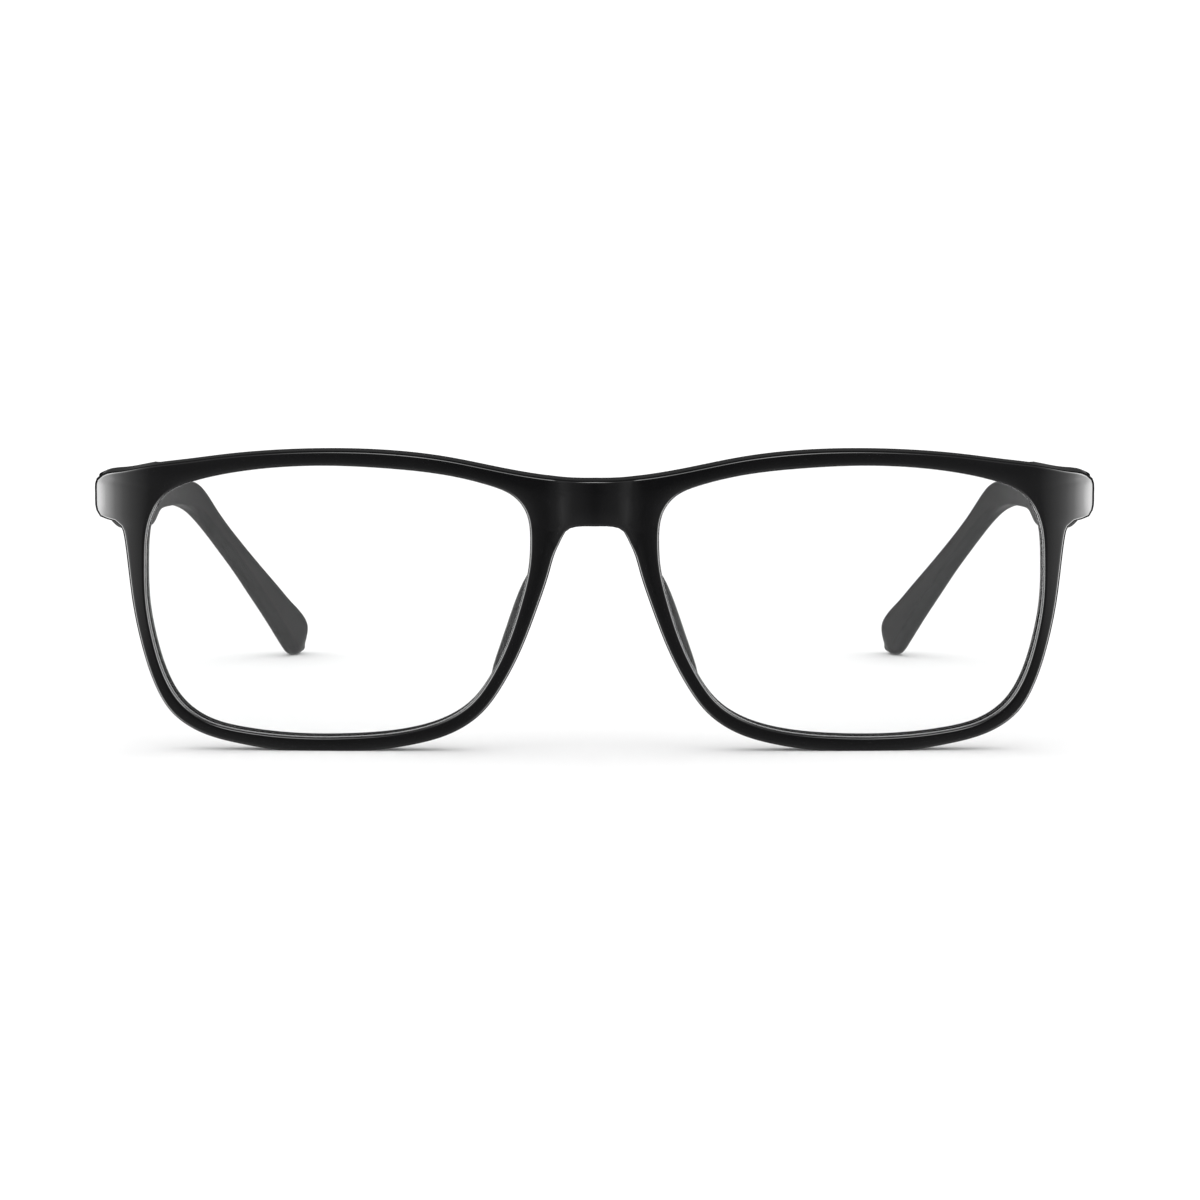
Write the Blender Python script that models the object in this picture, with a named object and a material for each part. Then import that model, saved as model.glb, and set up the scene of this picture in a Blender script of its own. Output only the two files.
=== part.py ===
"""Eyeglasses: a full-rim acetate front, two lenses, two nose pads and two folding temples.

Metres, +Z up. The front faces -Y and the temples run towards +Y. Right and left are the
wearer's, so right is -X and left is +X. Shapes are first laid out square on in a plane,
x across and z up, and then bent back at the sides and tilted.
"""

import math

import bmesh
import bpy
import numpy as np

MM = 0.001

# ---- Front, seen square on
EYE_WIDTH = 53.8 * MM
EYE_HEIGHT = 38.4 * MM
BRIDGE_WIDTH = 18.0 * MM        # between the two eye openings
BRIDGE_HEIGHT = 6.45 * MM       # of the bridge bar at its middle
BRIDGE_DROP = 1.85 * MM         # of the bridge's top below the opening's top
RIM_SCALE = 1.0                 # on the rim widths in EYE_SHAPE
END_REACH = 7.2 * MM            # of the end piece past the eye opening
END_HEIGHT = 6.3 * MM
END_DROP = 1.5 * MM             # of the end piece's top corner below the opening's top

# ---- Front, in depth
RIM_DEPTH = 4.0 * MM
FACE_WRAP = 2.4 * MM            # how far the face curves back by the time it reaches the side
END_WRAP = 2.2 * MM             # and how much more the end piece turns back
END_TURN = 10.0 * MM            # width over which the end piece turns
BRIDGE_ARCH = 0.82 * MM         # the bridge stands this proud of the rims
BRIDGE_HALF_ARCH = 5.6 * MM     # half the width of the raised band
FACE_TILT = math.radians(4.0)   # the top leans forward
BLOCK_BACK = 8.3 * MM           # the end block's back face, behind the bridge's face
BLOCK_TAPER = 0.06              # fall of the end block's top, for each unit behind the rim
FLOOR_FLAT = 0.45 * MM          # depth of the flat where a rim stands
LIP = 0.5 * MM                  # rounding of the front's edges

# ---- Lens and its groove
LENS_THICKNESS = 1.5 * MM
GROOVE_AT = 1.9 * MM            # middle of the groove behind the rim's face
GROOVE_DEPTH = 1.0 * MM
GROOVE_HALF = 0.9 * MM
FIT_GAP = 0.3 * MM              # between pieces that seat on each other

# ---- Nose pads
PAD_HEIGHT = 15.5 * MM
PAD_REACH = 5.6 * MM            # behind the rim
PAD_THICKNESS = 2.3 * MM
PAD_SPLAY = math.radians(12.5)
PAD_AT = 0.39                   # middle of the pad, as a share of the way up the nasal side

# ---- Temples
TEMPLE_THICKNESS = 4.2 * MM     # at the hinge
TEMPLE_THIN = 3.0 * MM          # from the ear bend on
TEMPLE_LENGTH = 127.2 * MM      # from the hinge end to the tip, measured straight back
EAR_AT = 62.0 * MM              # where the temple starts to bend inwards
EAR_LENGTH = 24.0 * MM          # length of that bend
EAR_TURN = 0.33                 # inward slope after it
TEMPLE_LIP = 0.45 * MM          # rounding of the long edges near the hinge
TEMPLE_ROUND = 0.47             # rounding past the ear, as a share of the thickness

# ---- Core wire in the temple
WIRE_RADIUS = 0.55 * MM
WIRE_START = 1.2 * MM           # behind the temple's hinge end
WIRE_END_GAP = 12.0 * MM        # from the wire's end to the tip
WIRE_INSET = 0.52 * TEMPLE_THIN     # of the wire's middle from the temple's outer face

# ---- Hinge
HINGE_HEIGHT = 0.8 * END_HEIGHT
KNUCKLES = 5
KNUCKLE_GAP = 0.2 * MM
KNUCKLE_RADIUS = 1.2 * MM
LEAF_THICKNESS = 1.0 * MM
LEAF_HEIGHT = 0.762 * END_HEIGHT
FRONT_LEAF_WIDTH = 5.4 * MM
TEMPLE_LEAF_LENGTH = 9.6 * MM
SCREW_GAP = 0.15 * MM
HINGE_SCREW_RADIUS = 0.55 * MM
HINGE_HEAD_RADIUS = 0.9 * MM
HINGE_HEAD_HEIGHT = 0.4 * MM
FIXING_RADIUS = 0.4 * MM
FIXING_HEAD_RADIUS = 0.65 * MM
FIXING_HEAD_HEIGHT = 0.35 * MM
FRONT_FIXING_LENGTH = 2.6 * MM
TEMPLE_FIXING_LENGTH = 1.9 * MM
FIXING_SPREAD = LEAF_HEIGHT / 2 - 0.9 * MM      # of each fixing screw from the leaf's middle

# ---- Fineness
OUTLINE_STEP = 3.6 * MM
LIP_STEPS = 2
TEMPLE_LIP_STEPS = 2
FACE_STEPS = 2
ROUND_SIDES = 16
FIXING_SIDES = 10

# The eye opening, in half widths across (towards the temple) and half heights up, with the
# rim's width there in millimetres; None where the bridge or the end piece leaves the rim.
EYE_SHAPE = (
    (-0.80, 0.855, 2.50), (-0.57, 0.933, 2.22), (-0.26, 0.982, 2.25), (0.046, 1.0, 2.13),
    (0.356, 0.980, 2.20), (0.59, 0.933, 2.51), (0.76, 0.873, 3.10), (0.876, 0.796, None),
    (0.943, 0.690, None), (0.984, 0.537, None), (0.999, 0.30, 2.68), (0.997, 0.0, 2.08),
    (0.962, -0.303, 1.88), (0.897, -0.589, 1.88), (0.825, -0.75, 2.02), (0.701, -0.879, 1.92),
    (0.506, -0.955, 1.95), (0.25, -0.994, 2.26), (-0.068, -0.994, 2.26), (-0.379, -0.945, 2.06),
    (-0.56, -0.863, 2.12), (-0.69, -0.740, 2.1), (-0.783, -0.568, 2.08),
    (-0.885, -0.274, 2.22), (-0.952, 0.020, 2.55), (-0.990, 0.25, 3.00),
    (-1.0, 0.46, None), (-0.975, 0.675, None), (-0.91, 0.785, None),
)

# The temple seen from the side: pairs of lower and upper edge points, each as millimetres
# back from the hinge end and millimetres above the hinge's middle.
TEMPLE_SHAPE = (
    ((0.0, -3.1), (0.0, 2.8)), ((6.0, -3.7), (6.0, 2.8)), ((13.0, -5.2), (13.0, 2.6)),
    ((22.0, -6.7), (22.0, 2.1)), ((32.0, -7.2), (32.0, 1.2)), ((41.0, -7.1), (41.0, 0.4)),
    ((48.0, -6.2), (48.0, -0.2)), ((56.0, -5.95), (56.0, -1.0)), ((66.0, -6.3), (66.0, -2.0)),
    ((75.5, -6.8), (76.5, -2.9)), ((82.0, -8.2), (84.0, -4.0)), ((87.9, -11.3), (89.9, -7.7)),
    ((94.8, -15.7), (97.0, -12.3)), ((100.8, -19.7), (103.2, -16.0)),
    ((106.6, -23.9), (109.4, -19.6)), ((112.5, -28.2), (115.7, -23.2)),
    ((116.7, -31.4), (120.6, -26.0)), ((120.2, -34.1), (125.2, -28.6)),
    ((122.2, -35.3), (126.9, -30.4)), ((124.3, -35.5), (127.2, -32.4)),
    ((126.0, -35.3), (127.1, -34.0)),
)


# ---------- curves

def spline(points, closed=False, per_span=24):
    """A smooth curve through the points, as closely spaced points, and each control's index."""
    p = np.array(points, dtype=float)
    if closed:
        p = np.vstack([p, p[:1]])
    n = len(p)
    h = np.linalg.norm(np.diff(p, axis=0), axis=1)
    slopes = np.diff(p, axis=0) / h[:, None]
    a = np.zeros((n, n))
    b = np.zeros_like(p)
    for i in range(1, n - 1):
        a[i, i - 1:i + 2] = 1 / h[i - 1], 2 / h[i - 1] + 2 / h[i], 1 / h[i]
        b[i] = 3 * (slopes[i - 1] / h[i - 1] + slopes[i] / h[i])
    if closed:
        a[0, [n - 2, 0, 1]] = 1 / h[-1], 2 / h[-1] + 2 / h[0], 1 / h[0]
        b[0] = 3 * (slopes[-1] / h[-1] + slopes[0] / h[0])
        a[-1, [0, n - 1]] = 1, -1
    else:
        a[0, :2] = 2, 1
        b[0] = 3 * slopes[0]
        a[-1, -2:] = 1, 2
        b[-1] = 3 * slopes[-1]
    m = np.linalg.solve(a, b)
    fine = []
    for i in range(n - 1):
        for t in np.arange(per_span) / per_span:
            fine.append((1 + 2 * t) * (1 - t) ** 2 * p[i] + t * (1 - t) ** 2 * h[i] * m[i]
                        + t * t * (3 - 2 * t) * p[i + 1] + t * t * (t - 1) * h[i] * m[i + 1])
    fine.append(p[-1])
    return np.array(fine), np.arange(n) * per_span


class Outline:
    """A curve in the layout plane, read by the distance along it."""

    def __init__(self, points, closed=False):
        self.fine, marks = spline(points, closed)
        steps = np.linalg.norm(np.diff(self.fine, axis=0), axis=1)
        self.along = np.concatenate([[0.0], np.cumsum(steps)])
        self.marks = self.along[marks]
        self.length = self.along[-1]
        self.closed = closed

    def at(self, s):
        s = s % self.length if self.closed else s
        return np.array([np.interp(s, self.along, self.fine[:, k]) for k in (0, 1)])

    def normal(self, s):
        """To the left of the way the curve runs, which is outwards here."""
        ahead = 0.02 * MM
        t = self.at(s + ahead) - self.at(s - ahead)
        t /= np.linalg.norm(t)
        return np.array([-t[1], t[0]])


def smooth(t):
    t = min(max(t, 0.0), 1.0)
    return t * t * (3 - 2 * t)


# ---------- the front's layout

HALF_WIDTH = BRIDGE_WIDTH / 2 + EYE_WIDTH + END_REACH
EYE_CENTRE = np.array([(BRIDGE_WIDTH + EYE_WIDTH) / 2, EYE_HEIGHT / 2 + 2.3 * MM * RIM_SCALE])
EYE_TOP = EYE_CENTRE[1] + EYE_HEIGHT / 2


def eye_outline():
    half = np.array([EYE_WIDTH, EYE_HEIGHT]) / 2
    return Outline([EYE_CENTRE + half * (across, up) for across, up, _ in EYE_SHAPE], closed=True)


def outer_outline(eye):
    """The half front's outer edge from the bridge's top round to its underside, and for each
    of its points the matching distance along the eye opening."""
    rim = {}
    for k, (_, _, width) in enumerate(EYE_SHAPE):
        if width:
            s = eye.marks[k]
            rim[k] = (*(eye.at(s) + eye.normal(s) * width * MM * RIM_SCALE), s)
    half_bridge = BRIDGE_WIDTH / 2
    bridge_top = EYE_TOP - BRIDGE_DROP
    bridge_foot = bridge_top - BRIDGE_HEIGHT
    end_top = EYE_TOP - END_DROP
    end_foot = end_top - END_HEIGHT
    names = [k for k in range(len(EYE_SHAPE)) if k in rim]
    top = [rim[k] for k in names if k <= 6]
    side = [rim[k] for k in names if k > 6]
    nasal_corner = eye.marks[27]
    under_corner = (eye.marks[26] + eye.marks[27]) / 2
    outer_corner = eye.marks[7]
    inner_corner = eye.marks[8]
    points = [(0.0, bridge_top, nasal_corner - eye.length),
              (0.46 * half_bridge, bridge_top + 0.05 * MM, None),
              (0.91 * half_bridge, bridge_top + 0.48 * MM, None)]
    points += top
    points += [(HALF_WIDTH - 7.5 * MM, end_top + 1.3 * MM, None),
               (HALF_WIDTH - 3.4 * MM, end_top + 0.5 * MM, None),
               (HALF_WIDTH - 1.2 * MM, end_top, outer_corner),
               (HALF_WIDTH - 0.3 * MM, end_top - 0.7 * MM, None),
               (HALF_WIDTH, end_top - 0.45 * END_HEIGHT, None),
               (HALF_WIDTH - 0.15 * MM, end_foot + 1.1 * MM, None),
               (HALF_WIDTH - 0.7 * MM, end_foot + 0.25 * MM, None),
               (HALF_WIDTH - 1.8 * MM, end_foot - 0.1 * MM, inner_corner),
               (HALF_WIDTH - 2.9 * MM, end_foot - 0.3 * MM, None),
               (HALF_WIDTH - 3.75 * MM, end_foot - 1.0 * MM, None),
               (HALF_WIDTH - 4.15 * MM, end_foot - 2.3 * MM, None)]
    points += side
    points += [(0.61 * half_bridge, bridge_foot - 3.8 * MM, None),
               (0.505 * half_bridge, bridge_foot - 1.7 * MM, None),
               (0.45 * half_bridge, bridge_foot - 0.8 * MM, None),
               (0.375 * half_bridge, bridge_foot - 0.3 * MM, None),
               (0.28 * half_bridge, bridge_foot - 0.08 * MM, None),
               (0.0, bridge_foot, under_corner)]
    outer = Outline([p[:2] for p in points])
    known = [k for k, p in enumerate(points) if p[2] is not None]
    matches = np.interp(outer.marks, outer.marks[known], [points[k][2] for k in known])
    return outer, matches


def face_slope(x):
    """Slope of the gentle curve of the whole face, without the end piece's turn."""
    return 2 * FACE_WRAP * abs(x) / HALF_WIDTH ** 2


def face_depth(x):
    """Depth of the front's face behind the middle of the bridge's sides."""
    x = abs(x)
    depth = FACE_WRAP * (x / HALF_WIDTH) ** 2
    depth += END_WRAP * max(0.0, 1 + (x - HALF_WIDTH) / END_TURN) ** 2.5
    return depth - BRIDGE_ARCH * max(0.0, 1 - (x / BRIDGE_HALF_ARCH) ** 2)


def place(x, z, depth):
    """From the layout plane and a depth behind the face to the front's place in space."""
    square = 1 - smooth((x - HALF_WIDTH + 4.0 * MM) / (2.0 * MM))
    x = x - face_slope(x) * square * depth if x > 0 else x
    back = face_depth(x) + depth
    up = z - EYE_CENTRE[1]
    return np.array([x, back * math.cos(FACE_TILT) - up * math.sin(FACE_TILT),
                     z * math.cos(FACE_TILT) + back * math.sin(FACE_TILT) - FLOOR_FLAT])


def lip(size, steps):
    """Inset and depth pairs round an edge, from the side wall to the face."""
    turns = np.linspace(0, math.pi / 2, steps + 1)
    return [(size * (1 - math.cos(t)), size * (1 - math.sin(t))) for t in turns]


def block_depth(x, z, from_eye):
    """Local thickness: the rim's, and much more where the end block carries the hinge."""
    extra = smooth((x - HALF_WIDTH + 9.0 * MM) / (2.0 * MM)) * smooth((from_eye - 0.7 * MM) / (1.2 * MM))
    extra *= smooth((z - (EYE_TOP - END_DROP - END_HEIGHT) + 1.6 * MM) / (1.6 * MM))
    return RIM_DEPTH + 6.0 * MM * extra


def front_half():
    """Vertices and faces of the front's left half, open on the plane x = 0."""
    eye = eye_outline()
    outer, matches = outer_outline(eye)
    stations = []
    for k in range(len(outer.marks) - 1):
        count = max(1, round((outer.marks[k + 1] - outer.marks[k]) / OUTLINE_STEP))
        for t in np.arange(count) / count:
            s = outer.marks[k] + t * (outer.marks[k + 1] - outer.marks[k])
            stations.append((outer.at(s), outer.normal(s), matches[k] + t * (matches[k + 1] - matches[k])))
    top, foot = outer.at(0.0), outer.at(outer.length)
    stations[0] = (top, np.array([0.0, 1.0]), matches[0])
    stations.append((foot, np.array([0.0, -1.0]), matches[-1]))
    across = max(2, round((top[1] - foot[1]) / OUTLINE_STEP))
    for t in np.arange(1, across) / across:
        stations.append((foot + t * (top - foot), None,
                         matches[-1] + t * (eye.marks[27] - matches[-1])))

    verts, rings = [], []
    for out, out_normal, s in stations:
        inner, in_normal = eye.at(s), eye.normal(s)
        seam = out_normal is None
        if seam:
            out_normal = np.array([0.0, 0.0])
        ring = []
        edge = lip(LIP, LIP_STEPS)
        front = [(inner + in_normal * i, d) for i, d in edge]
        last = out - out_normal * LIP
        mids = [front[-1][0] + (last - front[-1][0]) * t for t in np.arange(1, FACE_STEPS) / FACE_STEPS]
        front += [(p, 0.0) for p in mids]
        rim_edge = [(out - out_normal * i, d) for i, d in reversed(edge)]
        front += rim_edge[:1] if seam else rim_edge
        for p, d in front:
            ring.append(place(p[0], p[1], d))
        missing = len(rim_edge) - 1 if seam else 0
        ring += [None] * missing * 2
        back = [(p, d) for p, d in reversed(front)]
        for p, d in back:
            thick = block_depth(p[0], p[1], np.linalg.norm(p - inner))
            spot = place(p[0], p[1], thick - d)
            top_half = smooth((p[1] - EYE_TOP + END_DROP + END_HEIGHT / 2) / (2.0 * MM))
            spot[2] -= BLOCK_TAPER * (thick - RIM_DEPTH) * top_half
            ring.append(spot)
        for i, d in ((0.0, GROOVE_AT + GROOVE_HALF), (GROOVE_DEPTH, GROOVE_AT),
                     (0.0, GROOVE_AT - GROOVE_HALF)):
            p = inner + in_normal * i
            ring.append(place(p[0], p[1], d))
        indices = []
        for spot in ring:
            if spot is None:
                indices.append(None)
                continue
            spot[1] = min(spot[1], BLOCK_BACK)
            spot[2] = max(spot[2], 0.0)
            if seam or abs(out[0]) < 1e-9 and abs(spot[0]) < 1e-7:
                spot[0] = max(spot[0], 0.0)
            verts.append(spot)
            indices.append(len(verts) - 1)
        rings.append(indices)
    faces = loft_faces(rings, closed_loop=True)
    return verts, faces


def loft_faces(rings, closed_loop=False):
    """Quads between neighbouring rings of vertex indices, skipping the missing ones."""
    faces = []
    pairs = list(zip(rings, rings[1:]))
    if closed_loop:
        pairs.append((rings[-1], rings[0]))
    for a, b in pairs:
        for j in range(len(a)):
            i = (j + 1) % len(a)
            quad = (a[j], b[j], b[i], a[i])
            if None not in quad:
                faces.append(quad)
    return faces


# ---------- simple solids, each a list of vertices and a list of faces

def box(low, high):
    corners = [(x, y, z) for x in (low[0], high[0]) for y in (low[1], high[1]) for z in (low[2], high[2])]
    faces = [(0, 1, 3, 2), (4, 6, 7, 5), (0, 4, 5, 1), (2, 3, 7, 6), (0, 2, 6, 4), (1, 5, 7, 3)]
    return corners, faces


def turned(profile, centre, axis, sides=ROUND_SIDES):
    """A solid turned about an axis: profile holds radius and distance pairs, outside only."""
    axis = np.array(axis, dtype=float)
    u = np.array([axis[1], axis[2], axis[0]])
    v = np.cross(axis, u)
    verts, rings = [], []
    for radius, along in profile:
        ring = []
        for k in range(sides):
            a = 2 * math.pi * k / sides
            verts.append(np.array(centre) + axis * along + radius * (u * math.cos(a) + v * math.sin(a)))
            ring.append(len(verts) - 1)
        rings.append(ring)
    faces = [tuple(reversed(f)) for f in loft_faces(rings)]
    faces.append(tuple(reversed(rings[0])))
    faces.append(tuple(rings[-1]))
    return verts, faces


def joined(solids):
    verts, faces = [], []
    for v, f in solids:
        faces += [tuple(k + len(verts) for k in face) for face in f]
        verts += list(v)
    return verts, faces


# ---------- objects

def material(name, colour, roughness, metallic=0.0, transmission=0.0):
    m = bpy.data.materials.new(name)
    m.use_nodes = True
    shader = m.node_tree.nodes["Principled BSDF"]
    shader.inputs["Base Color"].default_value = (*colour, 1.0)
    shader.inputs["Roughness"].default_value = roughness
    shader.inputs["Metallic"].default_value = metallic
    shader.inputs["Transmission Weight"].default_value = transmission
    return m


def add_object(name, solid, parent, side=1, finish=None):
    """A mesh object under its parent empty. side is -1 for the mirror image."""
    verts, faces = solid
    base = np.array(parent.matrix_world.translation)
    mesh = bpy.data.meshes.new(name)
    mesh.from_pydata([tuple(np.array(v) * (side, 1, 1) - base) for v in verts], [], faces)
    turn = bmesh.new()
    turn.from_mesh(mesh)
    bmesh.ops.recalc_face_normals(turn, faces=turn.faces)
    turn.to_mesh(mesh)
    turn.free()
    mesh.shade_smooth()
    mesh.set_sharp_from_angle(angle=math.radians(35))
    thing = bpy.data.objects.new(name, mesh)
    bpy.context.collection.objects.link(thing)
    thing.parent = parent
    if finish:
        mesh.materials.append(finish)
    return thing


def add_empty(name, location, parent=None):
    empty = bpy.data.objects.new(name, None)
    bpy.context.collection.objects.link(empty)
    empty.parent = parent
    empty.location = location
    bpy.context.view_layer.update()
    return empty


def combine(target, name, solid, parent, side, operation):
    """Join a solid to an object, or cut it away, with a hidden helper."""
    helper = add_object(name, solid, parent, side)
    helper.hide_render = True
    helper.display_type = "WIRE"
    modifier = target.modifiers.new(name, "BOOLEAN")
    modifier.operation = operation
    modifier.object = helper
    return modifier


# ---------- hinge places, on the wearer's left

TEMPLE_FRONT = BLOCK_BACK + FIT_GAP
TEMPLE_OUTSIDE = HALF_WIDTH
TEMPLE_INSIDE = HALF_WIDTH - TEMPLE_THICKNESS


def hinge_middle():
    """Height of the hinge's middle: that of the end piece's back."""
    mid = EYE_TOP - END_DROP - END_HEIGHT / 2 - 0.05 * MM
    return place(HALF_WIDTH, mid, BLOCK_BACK - face_depth(HALF_WIDTH))[2]


HINGE_Z = hinge_middle()
AXIS_X = TEMPLE_INSIDE - FIT_GAP - KNUCKLE_RADIUS
AXIS_Y = BLOCK_BACK + KNUCKLE_RADIUS + FIT_GAP * 2
LEAF_LOW = HINGE_Z - LEAF_HEIGHT / 2
LEAF_HIGH = HINGE_Z + LEAF_HEIGHT / 2
FRONT_LEAF_START = AXIS_X - KNUCKLE_RADIUS
FRONT_FIXING_X = (TEMPLE_INSIDE + FRONT_LEAF_START + FRONT_LEAF_WIDTH) / 2
TEMPLE_LEAF_START = AXIS_Y - KNUCKLE_RADIUS
TEMPLE_FIXING_Y = TEMPLE_LEAF_START + 0.7 * TEMPLE_LEAF_LENGTH


def knuckle_spans():
    height = (HINGE_HEIGHT - (KNUCKLES - 1) * KNUCKLE_GAP) / KNUCKLES
    low = HINGE_Z - HINGE_HEIGHT / 2
    return [(low + k * (height + KNUCKLE_GAP), low + k * (height + KNUCKLE_GAP) + height)
            for k in range(KNUCKLES)]


def knuckle(span, towards):
    """An eye round the hinge axis with a web that runs back or sideways into its leaf."""
    outline = [(math.cos(a), math.sin(a)) for a in np.linspace(0, math.pi, ROUND_SIDES // 2 + 1)]
    reach = {"front": AXIS_Y - BLOCK_BACK + LEAF_THICKNESS / 2,
             "temple": TEMPLE_INSIDE - AXIS_X + LEAF_THICKNESS / 2}[towards]
    flat = [(x * KNUCKLE_RADIUS, y * KNUCKLE_RADIUS) for x, y in outline]
    flat += [(-KNUCKLE_RADIUS, -reach), (KNUCKLE_RADIUS, -reach)]
    if towards == "temple":
        flat = [(-y, x) for x, y in flat]
    count = len(flat)
    verts = [(AXIS_X + x, AXIS_Y + y, z) for z in span for x, y in flat]
    faces = [(k, (k + 1) % count, count + (k + 1) % count, count + k) for k in range(count)]
    faces.append(tuple(reversed(range(count))))
    faces.append(tuple(range(count, 2 * count)))
    return verts, faces


def fixing_cut(centre, axis, depth):
    """Space for a fixing screw: its head's seat and its shank's hole."""
    seat = FIXING_HEAD_RADIUS + SCREW_GAP
    hole = FIXING_RADIUS + SCREW_GAP
    head = FIXING_HEAD_HEIGHT + SCREW_GAP
    return turned([(hole, -depth), (hole, -head), (seat, -head), (seat, FIT_GAP)], centre, axis,
                  FIXING_SIDES)


def fixing_screw(centre, axis, length):
    head = FIXING_HEAD_HEIGHT
    rim = 0.08 * MM
    return turned([(0.3 * FIXING_RADIUS, -length), (FIXING_RADIUS, -length + FIXING_RADIUS),
                   (FIXING_RADIUS, -head), (FIXING_HEAD_RADIUS, -head),
                   (FIXING_HEAD_RADIUS, -rim), (FIXING_HEAD_RADIUS - rim, 0.0)], centre, axis,
                  FIXING_SIDES)


def hinge_bore():
    bore = HINGE_SCREW_RADIUS + SCREW_GAP
    seat = HINGE_HEAD_RADIUS + SCREW_GAP
    top = HINGE_Z + HINGE_HEIGHT / 2
    return turned([(bore, HINGE_Z - HINGE_HEIGHT - top), (bore, -HINGE_HEAD_HEIGHT - SCREW_GAP),
                   (seat, -HINGE_HEAD_HEIGHT - SCREW_GAP), (seat, FIT_GAP)],
                  (AXIS_X, AXIS_Y, top), (0, 0, 1))


def front_fixings():
    return {"upper": (FRONT_FIXING_X, BLOCK_BACK, HINGE_Z + FIXING_SPREAD),
            "lower": (FRONT_FIXING_X, BLOCK_BACK, HINGE_Z - FIXING_SPREAD)}


def temple_fixings():
    return {"upper": (TEMPLE_INSIDE, TEMPLE_FIXING_Y, HINGE_Z + FIXING_SPREAD),
            "lower": (TEMPLE_INSIDE, TEMPLE_FIXING_Y, HINGE_Z - FIXING_SPREAD)}


# ---------- sub-parts

def make_front(root, acetate):
    """The whole front: rims, bridge and end blocks from one sheet, mirrored about x = 0."""
    front = add_object("front_frame", front_half(), root, finish=acetate)
    mirror = front.modifiers.new("other_half", "MIRROR")
    mirror.use_axis = (True, False, False)
    mirror.merge_threshold = 0.00001
    for side, name in ((1, "left"), (-1, "right")):
        seat = box((FRONT_LEAF_START - FIT_GAP, BLOCK_BACK - LEAF_THICKNESS - FIT_GAP, LEAF_LOW - FIT_GAP),
                   (FRONT_LEAF_START + FRONT_LEAF_WIDTH + FIT_GAP, BLOCK_BACK + 2 * MM, LEAF_HIGH + FIT_GAP))
        combine(front, "front_seat_" + name, seat, root, side, "DIFFERENCE")
        holes = [turned([(FIXING_RADIUS + SCREW_GAP, -FRONT_FIXING_LENGTH - FIT_GAP),
                         (FIXING_RADIUS + SCREW_GAP, 0.0)], centre, (0, 1, 0), FIXING_SIDES)
                 for centre in front_fixings().values()]
        combine(front, "front_holes_" + name, joined(holes), root, side, "DIFFERENCE")


def lens_solid():
    """A demonstration lens whose edge is ground to a bevel that sits in the rim's groove."""
    eye = eye_outline()
    count = round(eye.length / OUTLINE_STEP)
    half = LENS_THICKNESS / 2
    apex = GROOVE_DEPTH - 1.5 * FIT_GAP
    verts, rings = [], []
    for s in np.arange(count) * eye.length / count:
        edge, outward = eye.at(s), eye.normal(s)
        body = edge - outward * FIT_GAP
        ring = []
        spots = [(EYE_CENTRE + (body - EYE_CENTRE) * t, GROOVE_AT - half) for t in (0.35, 0.7, 1.0)]
        spots.append((edge + outward * apex, GROOVE_AT))
        spots += [(EYE_CENTRE + (body - EYE_CENTRE) * t, GROOVE_AT + half) for t in (1.0, 0.7, 0.35)]
        for p, d in spots:
            verts.append(place(p[0], p[1], d))
            ring.append(len(verts) - 1)
        rings.append(ring)
    faces = []
    for a, b in zip(rings, rings[1:] + rings[:1]):
        faces += [(a[j], b[j], b[j + 1], a[j + 1]) for j in range(len(a) - 1)]
    for end, depth in ((0, GROOVE_AT - half), (-1, GROOVE_AT + half)):
        verts.append(place(EYE_CENTRE[0], EYE_CENTRE[1], depth))
        centre = len(verts) - 1
        for a, b in zip(rings, rings[1:] + rings[:1]):
            fan = (centre, b[end], a[end])
            faces.append(fan if end == 0 else tuple(reversed(fan)))
    return verts, faces


def pad_solid():
    """A nose pad: a thin crescent that stands behind the nasal rim and splays outwards."""
    eye = eye_outline()
    start = eye.marks[22]
    middle = start + (eye.marks[26] - start) * PAD_AT
    rows, around = 12, 12
    verts, rings = [], []
    for k in range(rows):
        up = math.sin(math.pi / 2 * (2 * (k + 0.5) / rows - 1))
        s = middle + up * PAD_HEIGHT / 2
        rim = eye.at(s) + eye.normal(s) * 1.15 * MM * RIM_SCALE
        root = place(rim[0], rim[1], RIM_DEPTH + FIT_GAP)
        fullness = (1 - up * up) ** 0.5
        reach = PAD_REACH * (0.25 + 0.75 * fullness)
        thick = PAD_THICKNESS / 2 * (0.45 + 0.55 * fullness)
        ring = []
        for j in range(around):
            a = 2 * math.pi * j / around
            along = reach / 2 * (1 - math.copysign(abs(math.cos(a)) ** 0.7, math.cos(a)))
            aside = thick * math.copysign(abs(math.sin(a)) ** 0.7, math.sin(a))
            x = root[0] + along * math.sin(PAD_SPLAY) + aside * math.cos(PAD_SPLAY)
            y = root[1] + thick * math.sin(PAD_SPLAY) + along * math.cos(PAD_SPLAY) \
                - aside * math.sin(PAD_SPLAY)
            verts.append(np.array([x, y, root[2]]))
            ring.append(len(verts) - 1)
        rings.append(ring)
    faces = [tuple(reversed(f)) for f in loft_faces(rings)]
    faces.append(tuple(rings[0]))
    faces.append(tuple(reversed(rings[-1])))
    return verts, faces


def inward(y):
    """How far the temple has bent inwards at a distance behind its hinge end, and its slope."""
    bent = min(max(y - EAR_AT, 0.0), EAR_LENGTH)
    rest = max(y - EAR_AT - EAR_LENGTH, 0.0)
    slope = EAR_TURN * bent / EAR_LENGTH
    return slope * bent / 2 + slope * rest, slope


def temple_spot(y, z, inset):
    """A point of the temple: inset is measured from its outer face."""
    shift, slope = inward(y)
    turn = math.atan(slope)
    return np.array([TEMPLE_OUTSIDE - shift - inset * math.cos(turn),
                     TEMPLE_FRONT + y - inset * math.sin(turn), HINGE_Z + z])


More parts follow.
